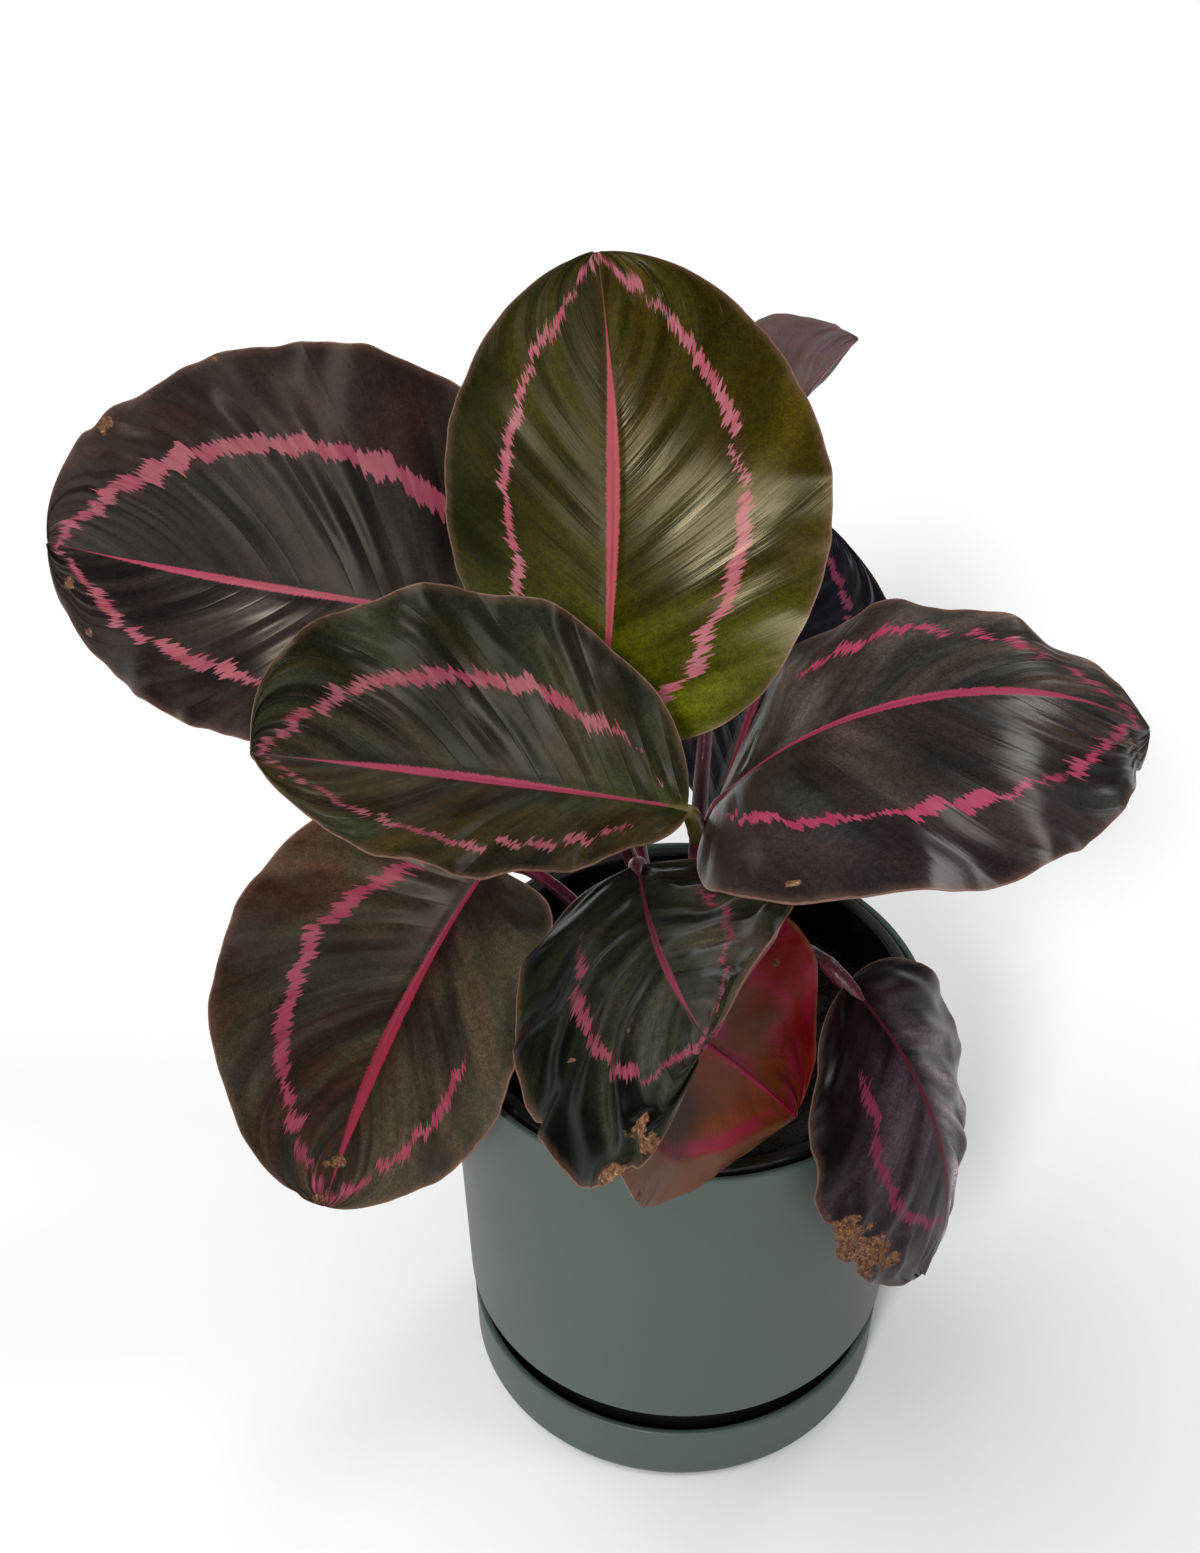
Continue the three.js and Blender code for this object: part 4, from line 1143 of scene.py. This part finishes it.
class StalkSettings(bpy.types.PropertyGroup):
    base_radius: FloatProperty(
        name="Base radius", description="Radius at the soil", default=3.1 * MM, unit="LENGTH", min=0)
    top_radius: FloatProperty(
        name="Top radius", description="Radius below the knee", default=2.1 * MM, unit="LENGTH", min=0)
    knee_radius: FloatProperty(
        name="Knee radius", description="Radius of the swollen joint", default=2.6 * MM, unit="LENGTH", min=0)
    sides: IntProperty(name="Sides", description="Sides of a stalk", default=20, min=6, max=64)
    skin_colour: FloatVectorProperty(
        name="Skin", description="Colour of the stalks", subtype="COLOR", size=3,
        min=0, max=1, default=colour("5A1028")[:3])


class StageSettings(bpy.types.PropertyGroup):
    floor_size: FloatProperty(
        name="Floor", description="Side of the floor", default=8.0, unit="LENGTH", min=1)
    floor_colour: FloatVectorProperty(
        name="Floor colour", description="Colour of the floor", subtype="COLOR", size=3,
        min=0, max=1, default=(0.78, 0.78, 0.78))
    light: FloatProperty(name="Light", description="Multiplies the power of every light", default=1.0, min=0)
    sky: FloatProperty(name="Sky", description="Strength of the even light all round", default=0.15, min=0)


# ---- Operators ----

class MakePots(bpy.types.Operator):
    """Make the saucer, the outer pot and the grow pot"""
    bl_idname = "calathea.make_pots"
    bl_label = "Pots and saucer"

    def execute(self, context):
        settings = context.scene.calathea_pots
        plastic = pot_plastic(settings)
        make_saucer(plastic)
        make_outer_pot(plastic)
        make_grow_pot(grow_plastic(settings))
        return {"FINISHED"}


class MakeSoil(bpy.types.Operator):
    """Make the potting mix with its crumbs and grit"""
    bl_idname = "calathea.make_soil"
    bl_label = "Potting mix"

    def execute(self, context):
        settings = context.scene.calathea_soil
        floor = GROW_BASE + GROW_FLOOR + SEAT
        side = grow_radius(SOIL_TOP) - GROW_WALL - SEAT
        rings = [side - 1 - i * SOIL_RING_STEP for i in range(int((side - 2) / SOIL_RING_STEP))]
        corners = [(0, floor, 0), (grow_radius(floor) - GROW_WALL - SEAT, floor, 1), (side, SOIL_TOP, 0)]
        corners += [(radius, soil_height(radius), 0) for radius in rings]
        body = lathed("potting_mix", corners + [(0, soil_height(0), 0)])
        smooth(body, 60)
        crumb_relief().put_on(
            body, crumbs_per_area=settings.crumbs, grit_per_area=settings.grit,
            crumb_size=settings.crumb_size, grit_size=settings.grit_size, seed=SOIL_SEED,
            earth=earth_material(settings), pale=grit_material())
        seat(settled(body, "potting_mix"), "soil", "soil")
        return {"FINISHED"}


class MakeLeaves(bpy.types.Operator):
    """Make the ten leaf blades"""
    bl_idname = "calathea.make_leaves"
    bl_label = "Leaf blades"

    def execute(self, context):
        settings = context.scene.calathea_leaves
        pleats = pleat_relief()
        for name, leaf in LEAVES.items():
            look = LOOKS[name]
            source = linked(f"blade_{name}", blade_mesh(f"blade_{name}", leaf, look, settings))
            pleats.put_on(
                source, side_veins=float(look["veins"]), pleat_depth=look["pleat"] * settings.pleats * MM,
                crumple_depth=look["crumple"] * settings.pleats * MM, ruffle_depth=settings.ruffle,
                seed=float(look["seed"]),
                upper_face=upper_face(name, look, settings), lower_face=lower_face(name, look, settings))
            seat(settled(source, f"blade_{name}"), look["slot"], f"leaf_{name}")
        return {"FINISHED"}


class MakeStalks(bpy.types.Operator):
    """Make the ten stalks"""
    bl_idname = "calathea.make_stalks"
    bl_label = "Stalks"

    def execute(self, context):
        settings = context.scene.calathea_stalks
        sweep = stalk_relief()
        crimson = stalk_skin("crimson_stalk", "4A1420", settings)
        green_kneed = stalk_skin("green_kneed_stalk", "4A4A1C", settings)
        for name, leaf in LEAVES.items():
            points = stalk_points(leaf)
            curve = bpy.data.curves.new(f"stem_{name}", "CURVE")
            curve.dimensions = "3D"
            spline = curve.splines.new("POLY")
            spline.points.add(len(points) - 1)
            spline.points.foreach_set("co", np.append(points, np.ones((len(points), 1)), 1).reshape(-1))
            source = linked(f"stem_{name}", curve)
            sweep.put_on(
                source, base_radius=settings.base_radius, top_radius=settings.top_radius,
                knee_radius=settings.knee_radius, sides=settings.sides,
                skin=green_kneed if name in GREEN_KNEED else crimson)
            stem = settled(source, f"stem_{name}")
            smooth(stem, 50)
            seat(stem, "stalk", f"stalk_{name}")
        return {"FINISHED"}


class MakeStage(bpy.types.Operator):
    """Make the floor, the soft light and the camera"""
    bl_idname = "calathea.make_stage"
    bl_label = "Floor, light and camera"

    def execute(self, context):
        scene = context.scene
        settings = scene.calathea_stage
        make_floor(settings)
        for name, light in LIGHTS.items():
            azimuth, elevation, breadth, strength = light
            soft_light(name, azimuth, elevation, breadth, strength * settings.light)
        world = bpy.data.worlds.new("studio")
        world.use_nodes = True
        background = world.node_tree.nodes["Background"]
        background.inputs["Color"].default_value = SKY_COLOUR
        background.inputs["Strength"].default_value = settings.sky
        scene.world = world
        scene.view_settings.view_transform = "Standard"
        make_camera()
        return {"FINISHED"}


class CalatheaPanel(bpy.types.Panel):
    """Lists the pieces of the plant and their settings"""
    bl_idname = "VIEW3D_PT_calathea"
    bl_label = "Potted calathea"
    bl_space_type = "VIEW_3D"
    bl_region_type = "UI"
    bl_category = "Calathea"

    def draw(self, context):
        for name, (settings, operator) in STEPS.items():
            box = self.layout.box()
            group = getattr(context.scene, name)
            for key in settings.__annotations__:
                box.prop(group, key)
            box.operator(operator.bl_idname)


STEPS = {
    "calathea_stage": (StageSettings, MakeStage),
    "calathea_pots": (PotSettings, MakePots),
    "calathea_soil": (SoilSettings, MakeSoil),
    "calathea_leaves": (LeafSettings, MakeLeaves),
    "calathea_stalks": (StalkSettings, MakeStalks),
}


def register():
    for name, (settings, operator) in STEPS.items():
        bpy.utils.register_class(settings)
        bpy.utils.register_class(operator)
        setattr(bpy.types.Scene, name, PointerProperty(type=settings))
    bpy.utils.register_class(CalatheaPanel)


def unregister():
    bpy.utils.unregister_class(CalatheaPanel)
    for name, (settings, operator) in reversed(STEPS.items()):
        delattr(bpy.types.Scene, name)
        bpy.utils.unregister_class(operator)
        bpy.utils.unregister_class(settings)


def main():
    register()
    bpy.ops.calathea.make_stage()
    bpy.ops.calathea.make_pots()
    bpy.ops.calathea.make_soil()
    bpy.ops.calathea.make_leaves()
    bpy.ops.calathea.make_stalks()


if __name__ == "__main__":
    main()
